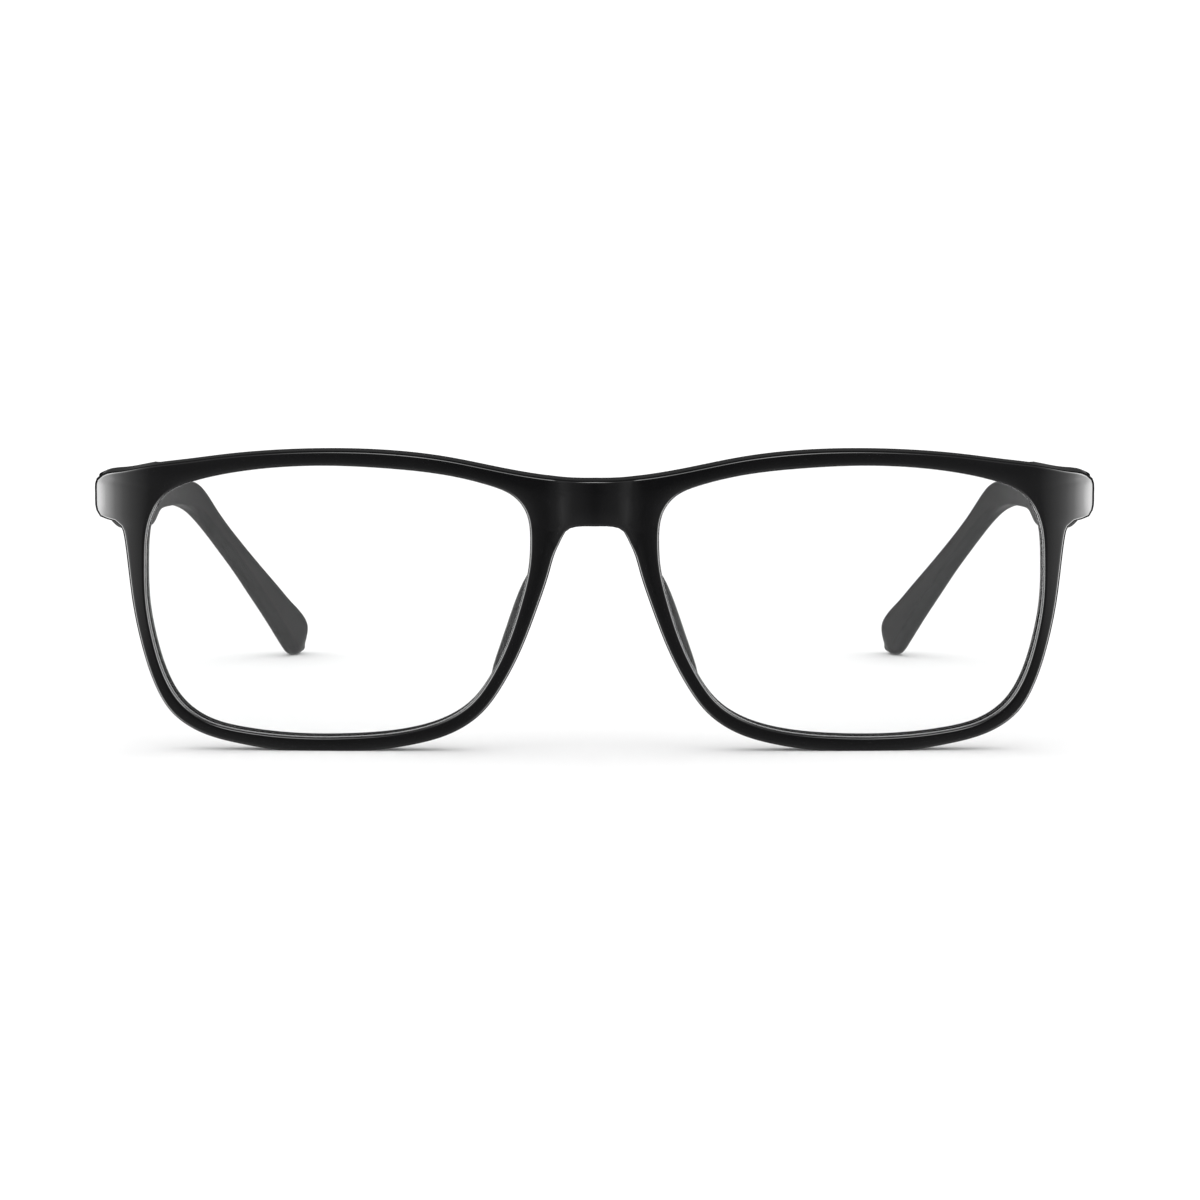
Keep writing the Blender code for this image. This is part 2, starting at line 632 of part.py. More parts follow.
def temple_edges():
    """The temple's lower and upper edges as curves, scaled to its length and its two ends."""
    stretch = TEMPLE_LENGTH / (127.2 * MM)
    drop = HINGE_Z / (35.5 * MM)
    taller = END_HEIGHT / (6.3 * MM)
    edges = []
    for k in (0, 1):
        points = []
        for y, z in (pair[k] for pair in TEMPLE_SHAPE):
            scale = drop if z < -8 else taller + (1 - taller) * smooth(y / 30)
            points.append((y * MM * stretch, z * MM * scale))
        edges.append(Outline(points))
    return edges


def temple_solid():
    low, high = temple_edges()
    spans = len(TEMPLE_SHAPE) - 1
    tip_start = 1 - 2.5 / spans
    verts, rings = [], []
    stations = [(k + t) / spans for k in range(spans) for t in (0.0, 0.5)] + [1.0]
    for t in stations:
        a = low.at(np.interp(t * spans, range(spans + 1), low.marks))
        b = high.at(np.interp(t * spans, range(spans + 1), high.marks))
        mid = (a[0] + b[0]) / 2
        thick = TEMPLE_THICKNESS + (TEMPLE_THIN - TEMPLE_THICKNESS) * smooth(mid / EAR_AT)
        thick *= 1 - 0.35 * smooth((t - tip_start) / (1 - tip_start))
        verts, ring = temple_ring(verts, a, b, thick)
        rings.append(ring)
    faces = loft_faces(rings)
    faces.append(tuple(rings[0]))
    faces.append(tuple(reversed(rings[-1])))
    return verts, faces


def temple_ring(verts, a, b, thick):
    """One cross-section between a lower and an upper edge point, with rounded corners."""
    height = np.linalg.norm(b - a)
    up = (b - a) / height
    past_ear = smooth((a[0] - 1.15 * EAR_AT) / (0.3 * EAR_AT))
    r = TEMPLE_LIP + (TEMPLE_ROUND * thick - TEMPLE_LIP) * past_ear
    r = min(r, 0.47 * thick, 0.47 * height)
    ring = []
    corners = ((0, 0, 180), (thick, 0, 270), (thick, height, 0), (0, height, 90))
    for inset, rise, angle in corners:
        centre_in = inset + (r if inset == 0 else -r)
        centre_up = rise + (r if rise == 0 else -r)
        for turn in np.linspace(0, 90, TEMPLE_LIP_STEPS + 1):
            t = math.radians(angle + turn)
            p = a + up * (centre_up + r * math.sin(t))
            verts.append(temple_spot(p[0], p[1], centre_in + r * math.cos(t)))
            verts[-1][2] = max(verts[-1][2], 0.0)
            ring.append(len(verts) - 1)
    return verts, ring


def core_path(start, stop):
    """Points of the core wire's centre line, midway between the temple's edges."""
    low, high = temple_edges()
    spans = len(TEMPLE_SHAPE) - 1
    spots = []
    for t in np.linspace(0, 1, 3 * spans + 1):
        a = low.at(np.interp(t * spans, range(spans + 1), low.marks))
        b = high.at(np.interp(t * spans, range(spans + 1), high.marks))
        mid = (a + b) / 2
        if start <= mid[0] <= stop:
            rise = mid[1] * smooth((mid[0] - 9.0 * MM) / (16.0 * MM))
            spots.append(temple_spot(mid[0], rise, WIRE_INSET))
    return spots


def tube(spots, radius, sides):
    verts, rings = [], []
    for k, spot in enumerate(spots):
        ahead = spots[min(k + 1, len(spots) - 1)] - spots[max(k - 1, 0)]
        ahead /= np.linalg.norm(ahead)
        across = np.cross(ahead, (0, 0, 1))
        across /= np.linalg.norm(across)
        up = np.cross(across, ahead)
        ring = []
        for j in range(sides):
            a = 2 * math.pi * (j + 0.5) / sides
            verts.append(spot + radius * (across * math.cos(a) + up * math.sin(a)))
            ring.append(len(verts) - 1)
        rings.append(ring)
    faces = loft_faces(rings)
    faces.append(tuple(rings[0]))
    faces.append(tuple(reversed(rings[-1])))
    return verts, faces


def make_temple(pivot, side, name, finishes):
    """A temple with its core wire, its hinge leaf and the leaf's screws."""
    temple = add_object("temple_" + name, temple_solid(), pivot, side, finishes["temple"])
    seat = box((TEMPLE_INSIDE - 2 * MM, TEMPLE_FRONT - 1 * MM, LEAF_LOW - FIT_GAP),
               (TEMPLE_INSIDE + LEAF_THICKNESS + FIT_GAP,
                TEMPLE_LEAF_START + TEMPLE_LEAF_LENGTH + FIT_GAP, LEAF_HIGH + FIT_GAP))
    combine(temple, "temple_seat_" + name, seat, pivot, side, "DIFFERENCE")
    holes = [turned([(FIXING_RADIUS + SCREW_GAP, -TEMPLE_FIXING_LENGTH - FIT_GAP),
                     (FIXING_RADIUS + SCREW_GAP, 0.0)], centre, (-1, 0, 0), FIXING_SIDES)
             for centre in temple_fixings().values()]
    combine(temple, "temple_holes_" + name, joined(holes), pivot, side, "DIFFERENCE")
    wire_end = TEMPLE_LENGTH - WIRE_END_GAP
    wire = core_path(WIRE_START, wire_end)
    channel = [wire[0] - (0, WIRE_START + 2 * MM, 0)] + wire + [wire[-1] + (wire[-1] - wire[-2]) * 0.2]
    combine(temple, "temple_channel_" + name, tube(channel, WIRE_RADIUS + FIT_GAP, 8), pivot, side,
            "DIFFERENCE")
    add_object("core_wire_" + name, tube(wire, WIRE_RADIUS, 8), pivot, side, finishes["steel"])

    plate = box((TEMPLE_INSIDE, TEMPLE_LEAF_START, LEAF_LOW),
                (TEMPLE_INSIDE + LEAF_THICKNESS, TEMPLE_LEAF_START + TEMPLE_LEAF_LENGTH, LEAF_HIGH))
    leaf = add_object("temple_hinge_leaf_" + name, plate, pivot, side, finishes["steel"])
    finish_leaf(leaf, "temple", range(1, KNUCKLES, 2), temple_fixings(), (-1, 0, 0), pivot, side, name)
    for place_name, centre in temple_fixings().items():
        add_object("temple_leaf_screw_" + place_name + "_" + name,
                   fixing_screw(centre, (-1, 0, 0), TEMPLE_FIXING_LENGTH), pivot, side, finishes["screw"])


def make_front_hinge(root, side, name, finishes):
    """The hinge leaf on the front, its screws and the screw that the temple turns on."""
    plate = box((FRONT_LEAF_START, BLOCK_BACK - LEAF_THICKNESS, LEAF_LOW),
                (FRONT_LEAF_START + FRONT_LEAF_WIDTH, BLOCK_BACK, LEAF_HIGH))
    leaf = add_object("front_hinge_leaf_" + name, plate, root, side, finishes["steel"])
    finish_leaf(leaf, "front", range(0, KNUCKLES, 2), front_fixings(), (0, 1, 0), root, side, name)
    for place_name, centre in front_fixings().items():
        add_object("front_leaf_screw_" + place_name + "_" + name,
                   fixing_screw(centre, (0, 1, 0), FRONT_FIXING_LENGTH), root, side, finishes["screw"])
    top = HINGE_Z + HINGE_HEIGHT / 2
    screw = turned([(0.6 * HINGE_SCREW_RADIUS, -HINGE_HEIGHT), (HINGE_SCREW_RADIUS, -HINGE_HEIGHT + 0.2 * MM),
                    (HINGE_SCREW_RADIUS, -HINGE_HEAD_HEIGHT), (HINGE_HEAD_RADIUS, -HINGE_HEAD_HEIGHT),
                    (HINGE_HEAD_RADIUS, -0.1 * MM), (HINGE_HEAD_RADIUS - 0.1 * MM, 0.0)],
                   (AXIS_X, AXIS_Y, top), (0, 0, 1))
    add_object("hinge_screw_" + name, screw, root, side, finishes["screw"])


def finish_leaf(leaf, towards, levels, fixings, axis, parent, side, name):
    """Add the knuckles to a leaf's plate, then its bore and its screw holes."""
    spans = knuckle_spans()
    label = towards + "_leaf_"
    combine(leaf, label + "knuckles_" + name, joined([knuckle(spans[k], towards) for k in levels]),
            parent, side, "UNION")
    combine(leaf, label + "bore_" + name, hinge_bore(), parent, side, "DIFFERENCE")
    cuts = [fixing_cut(centre, axis, 2 * LEAF_THICKNESS) for centre in fixings.values()]
    combine(leaf, label + "fixings_" + name, joined(cuts), parent, side, "DIFFERENCE")


def centre_on_origin(root, pieces):
    """Move everything so that the origin is the middle of the outer box's underside."""
    bpy.context.view_layer.update()
    corners = np.array([piece.matrix_world @ v.co for piece in pieces for v in piece.data.vertices])
    low, high = corners.min(axis=0), corners.max(axis=0)
    root.location = (0.0, -(low[1] + high[1]) / 2, -low[2])
    bpy.context.view_layer.update()


def build():
    for thing in list(bpy.data.objects):
        bpy.data.objects.remove(thing)
    finishes = {"front": material("front_acetate", (0.012, 0.012, 0.014), 0.08),
                "temple": material("temple_acetate", (0.03, 0.03, 0.032), 0.35),
                "lens": material("lens_clear", (1.0, 1.0, 1.0), 0.02, 0.0, 1.0),
                "pad": material("pad_acetate", (0.02, 0.02, 0.022), 0.25),
                "steel": material("hinge_nickel_silver", (0.62, 0.60, 0.56), 0.3, 1.0),
                "screw": material("screw_steel", (0.55, 0.55, 0.56), 0.25, 1.0)}
    root = add_empty("glasses", (0, 0, 0))
    make_front(root, finishes["front"])
    for side, name in ((-1, "right"), (1, "left")):
        add_object("lens_" + name, lens_solid(), root, side, finishes["lens"])
        add_object("nose_pad_" + name, pad_solid(), root, side, finishes["pad"])
        make_front_hinge(root, side, name, finishes)
        pivot = add_empty("hinge_axis_" + name, (side * AXIS_X, AXIS_Y, HINGE_Z), root)
        make_temple(pivot, side, name, finishes)
    outer = [bpy.data.objects[n] for n in ("front_frame", "temple_right", "temple_left")]
    centre_on_origin(root, outer)


build()
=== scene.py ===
"""Looks for the eyeglasses: a gloss black acetate front, satin temples, clear lenses and
small barrel hinges, in a plain white studio. Shapes repeat the CAD part's formulas more
finely, in metres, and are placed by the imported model's own boxes.
"""

import math

import bmesh
import bpy
import numpy as np
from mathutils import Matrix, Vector


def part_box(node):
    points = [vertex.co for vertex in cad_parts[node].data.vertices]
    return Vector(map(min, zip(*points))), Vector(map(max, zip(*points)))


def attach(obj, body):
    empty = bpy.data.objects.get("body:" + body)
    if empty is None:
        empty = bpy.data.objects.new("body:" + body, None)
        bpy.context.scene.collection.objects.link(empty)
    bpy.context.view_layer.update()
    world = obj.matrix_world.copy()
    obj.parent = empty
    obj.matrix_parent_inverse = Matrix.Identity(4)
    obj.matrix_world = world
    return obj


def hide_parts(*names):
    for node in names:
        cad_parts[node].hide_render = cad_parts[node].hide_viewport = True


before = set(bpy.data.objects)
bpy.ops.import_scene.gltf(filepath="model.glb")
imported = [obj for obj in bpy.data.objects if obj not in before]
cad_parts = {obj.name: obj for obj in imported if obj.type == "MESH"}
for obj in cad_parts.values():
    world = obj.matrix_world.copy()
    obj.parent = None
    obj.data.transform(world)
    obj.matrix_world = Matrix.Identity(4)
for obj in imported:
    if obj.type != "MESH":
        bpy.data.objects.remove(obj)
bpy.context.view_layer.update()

MM = 0.001

# ---- Front, seen square on
EYE_WIDTH = 53.8 * MM
EYE_HEIGHT = 38.4 * MM
BRIDGE_WIDTH = 18.0 * MM        # between the two eye openings
BRIDGE_HEIGHT = 6.45 * MM       # of the bridge bar at its middle
BRIDGE_DROP = 1.85 * MM         # of the bridge's top below the opening's top
RIM_SCALE = 1.0                 # on the rim widths in EYE_SHAPE
END_REACH = 7.2 * MM            # of the end piece past the eye opening
END_HEIGHT = 6.3 * MM
END_DROP = 1.5 * MM             # of the end piece's top corner below the opening's top

# ---- Front, in depth
RIM_DEPTH = 4.0 * MM
FACE_WRAP = 2.4 * MM            # how far the face curves back by the time it reaches the side
END_WRAP = 2.2 * MM             # and how much more the end piece turns back
END_TURN = 10.0 * MM            # width over which the end piece turns
BRIDGE_ARCH = 0.82 * MM         # the bridge stands this proud of the rims
BRIDGE_HALF_ARCH = 5.6 * MM     # half the width of the raised band
FACE_TILT = math.radians(4.0)   # the top leans forward
BLOCK_BACK = 8.3 * MM           # the end block's back face, behind the bridge's face
BLOCK_TAPER = 0.06              # fall of the end block's top, for each unit behind the rim
FLOOR_FLAT = 0.45 * MM          # depth of the flat where a rim stands
LIP = 0.4 * MM                  # rounding of the front's edges
CROWN = 0.13 * MM               # fall of the face towards an edge
CROWN_WIDTH = 2.3 * MM          # from where it falls

# ---- Lens and its groove
LENS_THICKNESS = 1.5 * MM
GROOVE_AT = 1.9 * MM            # middle of the groove behind the rim's face
GROOVE_DEPTH = 1.0 * MM
GROOVE_HALF = 0.9 * MM
FIT_GAP = 0.3 * MM              # between pieces that seat on each other

# ---- Nose pads
PAD_HEIGHT = 15.5 * MM
PAD_REACH = 5.6 * MM            # behind the rim
PAD_THICKNESS = 2.3 * MM
PAD_SPLAY = math.radians(12.5)
PAD_SEAT = 0.02 * MM            # left between a pad and the rim it is cemented to
PAD_AT = 0.39                   # middle of the pad, as a share of the way up the nasal side

# ---- Temples
TEMPLE_THICKNESS = 4.2 * MM     # at the hinge
TEMPLE_THIN = 3.0 * MM          # from the ear bend on
TEMPLE_LENGTH = 127.2 * MM      # from the hinge end to the tip, measured straight back
EAR_AT = 62.0 * MM              # where the temple starts to bend inwards
EAR_LENGTH = 24.0 * MM          # length of that bend
EAR_TURN = 0.33                 # inward slope after it
TEMPLE_LIP = 0.45 * MM          # rounding of the long edges near the hinge
TEMPLE_ROUND = 0.47             # rounding past the ear, as a share of the thickness

# ---- Hinge
HINGE_HEIGHT = 0.8 * END_HEIGHT
KNUCKLES = 5
KNUCKLE_GAP = 0.2 * MM
KNUCKLE_RADIUS = 1.2 * MM
LEAF_THICKNESS = 1.0 * MM
LEAF_HEIGHT = 0.762 * END_HEIGHT
FRONT_LEAF_WIDTH = 5.4 * MM
TEMPLE_LEAF_LENGTH = 9.6 * MM
SCREW_GAP = 0.15 * MM
HINGE_SCREW_RADIUS = 0.55 * MM
HINGE_HEAD_RADIUS = 0.9 * MM
HINGE_HEAD_HEIGHT = 0.4 * MM
FIXING_RADIUS = 0.4 * MM
FIXING_HEAD_RADIUS = 0.65 * MM
FIXING_HEAD_HEIGHT = 0.35 * MM
FRONT_FIXING_LENGTH = 2.6 * MM
TEMPLE_FIXING_LENGTH = 1.9 * MM
FIXING_SPREAD = LEAF_HEIGHT / 2 - 0.9 * MM      # of each fixing screw from the leaf's middle
FIXING_SIDES = 32
SLOT_WIDTH = 0.22 * MM
SLOT_DEPTH = 0.2 * MM
SLOT_REACH = 1.2                # half the slot's cutter, in head radii
LEAF_BEVEL = 0.07 * MM
LEAF_ROOM = 0.08 * MM           # round a leaf in its recess


# ---- Fineness
OUTLINE_STEP = 0.8 * MM
LIP_STEPS = 6
TEMPLE_LIP_STEPS = 7
FACE_STEPS = 8
TEMPLE_SPAN_STEPS = 6
# Rings that close the temple's tip: the share of the last ring left, and the distance past it.
TIP_CAP = ((0.85, 0.09 * MM), (0.6, 0.16 * MM), (0.3, 0.2 * MM))
ROUND_SIDES = 40

# The eye opening, in half widths across (towards the temple) and half heights up, with the
# rim's width there in millimetres; None where the bridge or the end piece leaves the rim.
EYE_SHAPE = (
    (-0.80, 0.855, 2.50), (-0.57, 0.933, 2.22), (-0.26, 0.982, 2.25), (0.046, 1.0, 2.13),
    (0.356, 0.980, 2.20), (0.59, 0.933, 2.51), (0.76, 0.873, 3.10), (0.876, 0.796, None),
    (0.943, 0.690, None), (0.984, 0.537, None), (0.999, 0.30, 2.68), (0.997, 0.0, 2.08),
    (0.962, -0.303, 1.88), (0.897, -0.589, 1.88), (0.825, -0.75, 2.02), (0.701, -0.879, 1.92),
    (0.506, -0.955, 1.95), (0.25, -0.994, 2.26), (-0.068, -0.994, 2.26), (-0.379, -0.945, 2.06),
    (-0.56, -0.863, 2.12), (-0.69, -0.740, 2.1), (-0.783, -0.568, 2.08),
    (-0.885, -0.274, 2.22), (-0.952, 0.020, 2.55), (-0.990, 0.25, 3.00),
    (-1.0, 0.46, None), (-0.975, 0.675, None), (-0.91, 0.785, None),
)

# The temple seen from the side: pairs of lower and upper edge points, each as millimetres
# back from the hinge end and millimetres above the hinge's middle.
TEMPLE_SHAPE = (
    ((0.0, -3.1), (0.0, 2.8)), ((6.0, -3.7), (6.0, 2.8)), ((13.0, -5.2), (13.0, 2.6)),
    ((22.0, -6.7), (22.0, 2.1)), ((32.0, -7.2), (32.0, 1.2)), ((41.0, -7.1), (41.0, 0.4)),
    ((48.0, -6.2), (48.0, -0.2)), ((56.0, -5.95), (56.0, -1.0)), ((66.0, -6.3), (66.0, -2.0)),
    ((75.5, -6.8), (76.5, -2.9)), ((82.0, -8.2), (84.0, -4.0)), ((87.9, -11.3), (89.9, -7.7)),
    ((94.8, -15.7), (97.0, -12.3)), ((100.8, -19.7), (103.2, -16.0)),
    ((106.6, -23.9), (109.4, -19.6)), ((112.5, -28.2), (115.7, -23.2)),
    ((116.7, -31.4), (120.6, -26.0)), ((120.2, -34.1), (125.2, -28.6)),
    ((122.2, -35.3), (126.9, -30.4)), ((124.3, -35.5), (127.2, -32.4)),
    ((126.0, -35.3), (127.1, -34.0)),
)


# ---------- curves

def spline(points, closed=False, per_span=24):
    """A smooth curve through the points, as closely spaced points, and each control's index."""
    p = np.array(points, dtype=float)
    if closed:
        p = np.vstack([p, p[:1]])
    n = len(p)
    h = np.linalg.norm(np.diff(p, axis=0), axis=1)
    slopes = np.diff(p, axis=0) / h[:, None]
    a = np.zeros((n, n))
    b = np.zeros_like(p)
    for i in range(1, n - 1):
        a[i, i - 1:i + 2] = 1 / h[i - 1], 2 / h[i - 1] + 2 / h[i], 1 / h[i]
        b[i] = 3 * (slopes[i - 1] / h[i - 1] + slopes[i] / h[i])
    if closed:
        a[0, [n - 2, 0, 1]] = 1 / h[-1], 2 / h[-1] + 2 / h[0], 1 / h[0]
        b[0] = 3 * (slopes[-1] / h[-1] + slopes[0] / h[0])
        a[-1, [0, n - 1]] = 1, -1
    else:
        a[0, :2] = 2, 1
        b[0] = 3 * slopes[0]
        a[-1, -2:] = 1, 2
        b[-1] = 3 * slopes[-1]
    m = np.linalg.solve(a, b)
    fine = []
    for i in range(n - 1):
        for t in np.arange(per_span) / per_span:
            fine.append((1 + 2 * t) * (1 - t) ** 2 * p[i] + t * (1 - t) ** 2 * h[i] * m[i]
                        + t * t * (3 - 2 * t) * p[i + 1] + t * t * (t - 1) * h[i] * m[i + 1])
    fine.append(p[-1])
    return np.array(fine), np.arange(n) * per_span


class Outline:
    """A curve in the layout plane, read by the distance along it."""

    def __init__(self, points, closed=False):
        self.fine, marks = spline(points, closed)
        steps = np.linalg.norm(np.diff(self.fine, axis=0), axis=1)
        self.along = np.concatenate([[0.0], np.cumsum(steps)])
        self.marks = self.along[marks]
        self.length = self.along[-1]
        self.closed = closed

    def at(self, s):
        s = s % self.length if self.closed else s
        return np.array([np.interp(s, self.along, self.fine[:, k]) for k in (0, 1)])

    def normal(self, s):
        """To the left of the way the curve runs, which is outwards here."""
        ahead = 0.02 * MM
        t = self.at(s + ahead) - self.at(s - ahead)
        t /= np.linalg.norm(t)
        return np.array([-t[1], t[0]])


def smooth(t):
    t = min(max(t, 0.0), 1.0)
    return t * t * (3 - 2 * t)

# ---------- the front's layout

HALF_WIDTH = BRIDGE_WIDTH / 2 + EYE_WIDTH + END_REACH
EYE_CENTRE = np.array([(BRIDGE_WIDTH + EYE_WIDTH) / 2, EYE_HEIGHT / 2 + 2.3 * MM * RIM_SCALE])
EYE_TOP = EYE_CENTRE[1] + EYE_HEIGHT / 2


def eye_outline():
    half = np.array([EYE_WIDTH, EYE_HEIGHT]) / 2
    return Outline([EYE_CENTRE + half * (across, up) for across, up, _ in EYE_SHAPE], closed=True)


def outer_outline(eye):
    """The half front's outer edge from the bridge's top round to its underside, and for each
    of its points the matching distance along the eye opening."""
    rim = {}
    for k, (_, _, width) in enumerate(EYE_SHAPE):
        if width:
            s = eye.marks[k]
            rim[k] = (*(eye.at(s) + eye.normal(s) * width * MM * RIM_SCALE), s)
    half_bridge = BRIDGE_WIDTH / 2
    bridge_top = EYE_TOP - BRIDGE_DROP
    bridge_foot = bridge_top - BRIDGE_HEIGHT
    end_top = EYE_TOP - END_DROP
    end_foot = end_top - END_HEIGHT
    names = [k for k in range(len(EYE_SHAPE)) if k in rim]
    top = [rim[k] for k in names if k <= 6]
    side = [rim[k] for k in names if k > 6]
    nasal_corner = eye.marks[27]
    under_corner = (eye.marks[26] + eye.marks[27]) / 2
    outer_corner = eye.marks[7]
    inner_corner = eye.marks[8]
    points = [(0.0, bridge_top, nasal_corner - eye.length),
              (0.46 * half_bridge, bridge_top + 0.05 * MM, None),
              (0.91 * half_bridge, bridge_top + 0.48 * MM, None)]
    points += top
    points += [(HALF_WIDTH - 7.5 * MM, end_top + 1.3 * MM, None),
               (HALF_WIDTH - 3.4 * MM, end_top + 0.5 * MM, None),
               (HALF_WIDTH - 1.2 * MM, end_top, outer_corner),
               (HALF_WIDTH - 0.3 * MM, end_top - 0.7 * MM, None),
               (HALF_WIDTH, end_top - 0.45 * END_HEIGHT, None),
               (HALF_WIDTH - 0.15 * MM, end_foot + 1.1 * MM, None),
               (HALF_WIDTH - 0.7 * MM, end_foot + 0.25 * MM, None),
               (HALF_WIDTH - 1.8 * MM, end_foot - 0.1 * MM, inner_corner),
               (HALF_WIDTH - 2.9 * MM, end_foot - 0.3 * MM, None),
               (HALF_WIDTH - 3.75 * MM, end_foot - 1.0 * MM, None),
               (HALF_WIDTH - 4.15 * MM, end_foot - 2.3 * MM, None)]
    points += side
    points += [(0.61 * half_bridge, bridge_foot - 3.8 * MM, None),
               (0.505 * half_bridge, bridge_foot - 1.7 * MM, None),
               (0.45 * half_bridge, bridge_foot - 0.8 * MM, None),
               (0.375 * half_bridge, bridge_foot - 0.3 * MM, None),
               (0.28 * half_bridge, bridge_foot - 0.08 * MM, None),
               (0.0, bridge_foot, under_corner)]
    outer = Outline([p[:2] for p in points])
    known = [k for k, p in enumerate(points) if p[2] is not None]
    matches = np.interp(outer.marks, outer.marks[known], [points[k][2] for k in known])
    return outer, matches


def face_slope(x):
    """Slope of the gentle curve of the whole face, without the end piece's turn."""
    return 2 * FACE_WRAP * abs(x) / HALF_WIDTH ** 2


def face_depth(x):
    """Depth of the front's face behind the middle of the bridge's sides."""
    x = abs(x)
    depth = FACE_WRAP * (x / HALF_WIDTH) ** 2
    depth += END_WRAP * max(0.0, 1 + (x - HALF_WIDTH) / END_TURN) ** 2.5
    return depth - BRIDGE_ARCH * max(0.0, 1 - (x / BRIDGE_HALF_ARCH) ** 2)


def place(x, z, depth):
    """From the layout plane and a depth behind the face to the front's place in space."""
    square = 1 - smooth((x - HALF_WIDTH + 4.0 * MM) / (2.0 * MM))
    x = x - face_slope(x) * square * depth if x > 0 else x
    back = face_depth(x) + depth
    up = z - EYE_CENTRE[1]
    return np.array([x, back * math.cos(FACE_TILT) - up * math.sin(FACE_TILT),
                     z * math.cos(FACE_TILT) + back * math.sin(FACE_TILT) - FLOOR_FLAT])


def lip(size, steps):
    """Inset and depth pairs round an edge, from the side wall to the face."""
    turns = np.linspace(0, math.pi / 2, steps + 1)
    return [(size * (1 - math.cos(t)), size * (1 - math.sin(t))) for t in turns]


def block_depth(x, z, from_eye):
    """Local thickness: the rim's, and much more where the end block carries the hinge."""
    extra = smooth((x - HALF_WIDTH + 9.0 * MM) / (2.0 * MM))
    extra *= smooth((from_eye - 0.7 * MM) / (1.2 * MM))
    extra *= smooth((z - (EYE_TOP - END_DROP - END_HEIGHT) + 1.6 * MM) / (1.6 * MM))
    return RIM_DEPTH + 6.0 * MM * extra


def outline_points(outline):
    return np.array([outline.at(s) for s in np.arange(0.0, outline.length, OUTLINE_STEP / 3)])


def crown(p, edges):
    """How far the polished face has fallen away at a point, near one edge or between two."""
    fall = 0.0
    flat = 1 - smooth((p[0] - HALF_WIDTH + 13.0 * MM) / (7.0 * MM))
    for points in edges:
        away = np.sqrt(np.min(np.sum((points - p) ** 2, axis=1)))
        fall += CROWN * flat * max(0.0, 1 - away / CROWN_WIDTH) ** 2
    return fall


def front_half():
    """Vertices and faces of the front's left half, open on the plane x = 0."""
    eye = eye_outline()
    outer, matches = outer_outline(eye)
    edges = (outline_points(eye), outline_points(outer))
    stations = []
    for k in range(len(outer.marks) - 1):
        count = max(1, round((outer.marks[k + 1] - outer.marks[k]) / OUTLINE_STEP))
        for t in np.arange(count) / count:
            s = outer.marks[k] + t * (outer.marks[k + 1] - outer.marks[k])
            match = matches[k] + t * (matches[k + 1] - matches[k])
            stations.append((outer.at(s), outer.normal(s), match))
    top, foot = outer.at(0.0), outer.at(outer.length)
    stations[0] = (top, np.array([0.0, 1.0]), matches[0])
    stations.append((foot, np.array([0.0, -1.0]), matches[-1]))
    across = max(2, round((top[1] - foot[1]) / OUTLINE_STEP))
    for t in np.arange(1, across) / across:
        stations.append((foot + t * (top - foot), None,
                         matches[-1] + t * (eye.marks[27] - matches[-1])))

    verts, rings = [], []
    for out, out_normal, s in stations:
        inner, in_normal = eye.at(s), eye.normal(s)
        seam = out_normal is None
        if seam:
            out_normal = np.array([0.0, 0.0])
        ring = []
        edge = lip(LIP, LIP_STEPS)
        front = [(inner + in_normal * i, d) for i, d in edge]
        last = out - out_normal * LIP
        first = front[-1][0]
        shares = np.arange(1, FACE_STEPS) / FACE_STEPS
        front += [(first + (last - first) * t, 0.0) for t in shares]
        rim_edge = [(out - out_normal * i, d) for i, d in reversed(edge)]
        front += rim_edge[:1] if seam else rim_edge
        for p, d in front:
            ring.append(place(p[0], p[1], d + crown(p, edges)))
        missing = len(rim_edge) - 1 if seam else 0
        ring += [None] * missing * 2
        back = [(p, d) for p, d in reversed(front)]
        for p, d in back:
            thick = block_depth(p[0], p[1], np.linalg.norm(p - inner))
            spot = place(p[0], p[1], thick - d)
            top_half = smooth((p[1] - EYE_TOP + END_DROP + END_HEIGHT / 2) / (2.0 * MM))
            spot[2] -= BLOCK_TAPER * (thick - RIM_DEPTH) * top_half
            ring.append(spot)
        for i, d in ((0.0, GROOVE_AT + GROOVE_HALF), (GROOVE_DEPTH, GROOVE_AT),
                     (0.0, GROOVE_AT - GROOVE_HALF)):
            p = inner + in_normal * i
            ring.append(place(p[0], p[1], d))
        indices = []
        for spot in ring:
            if spot is None:
                indices.append(None)
                continue
            spot[1] = min(spot[1], BLOCK_BACK)
            spot[2] = max(spot[2], 0.0)
            if seam or abs(out[0]) < 1e-9 and abs(spot[0]) < 1e-7:
                spot[0] = max(spot[0], 0.0)
            verts.append(spot)
            indices.append(len(verts) - 1)
        rings.append(indices)
    faces = loft_faces(rings, closed_loop=True)
    return verts, faces


def loft_faces(rings, closed_loop=False):
    """Quads between neighbouring rings of vertex indices, skipping the missing ones."""
    faces = []
    pairs = list(zip(rings, rings[1:]))
    if closed_loop:
        pairs.append((rings[-1], rings[0]))
    for a, b in pairs:
        for j in range(len(a)):
            i = (j + 1) % len(a)
            quad = (a[j], b[j], b[i], a[i])
            if None not in quad:
                faces.append(quad)
    return faces


# ---------- simple solids

def box(low, high):
    sides = list(zip(low, high))
    corners = [(x, y, z) for x in sides[0] for y in sides[1] for z in sides[2]]
    faces = [(0, 1, 3, 2), (4, 6, 7, 5), (0, 4, 5, 1), (2, 3, 7, 6), (0, 2, 6, 4), (1, 5, 7, 3)]
    return corners, faces


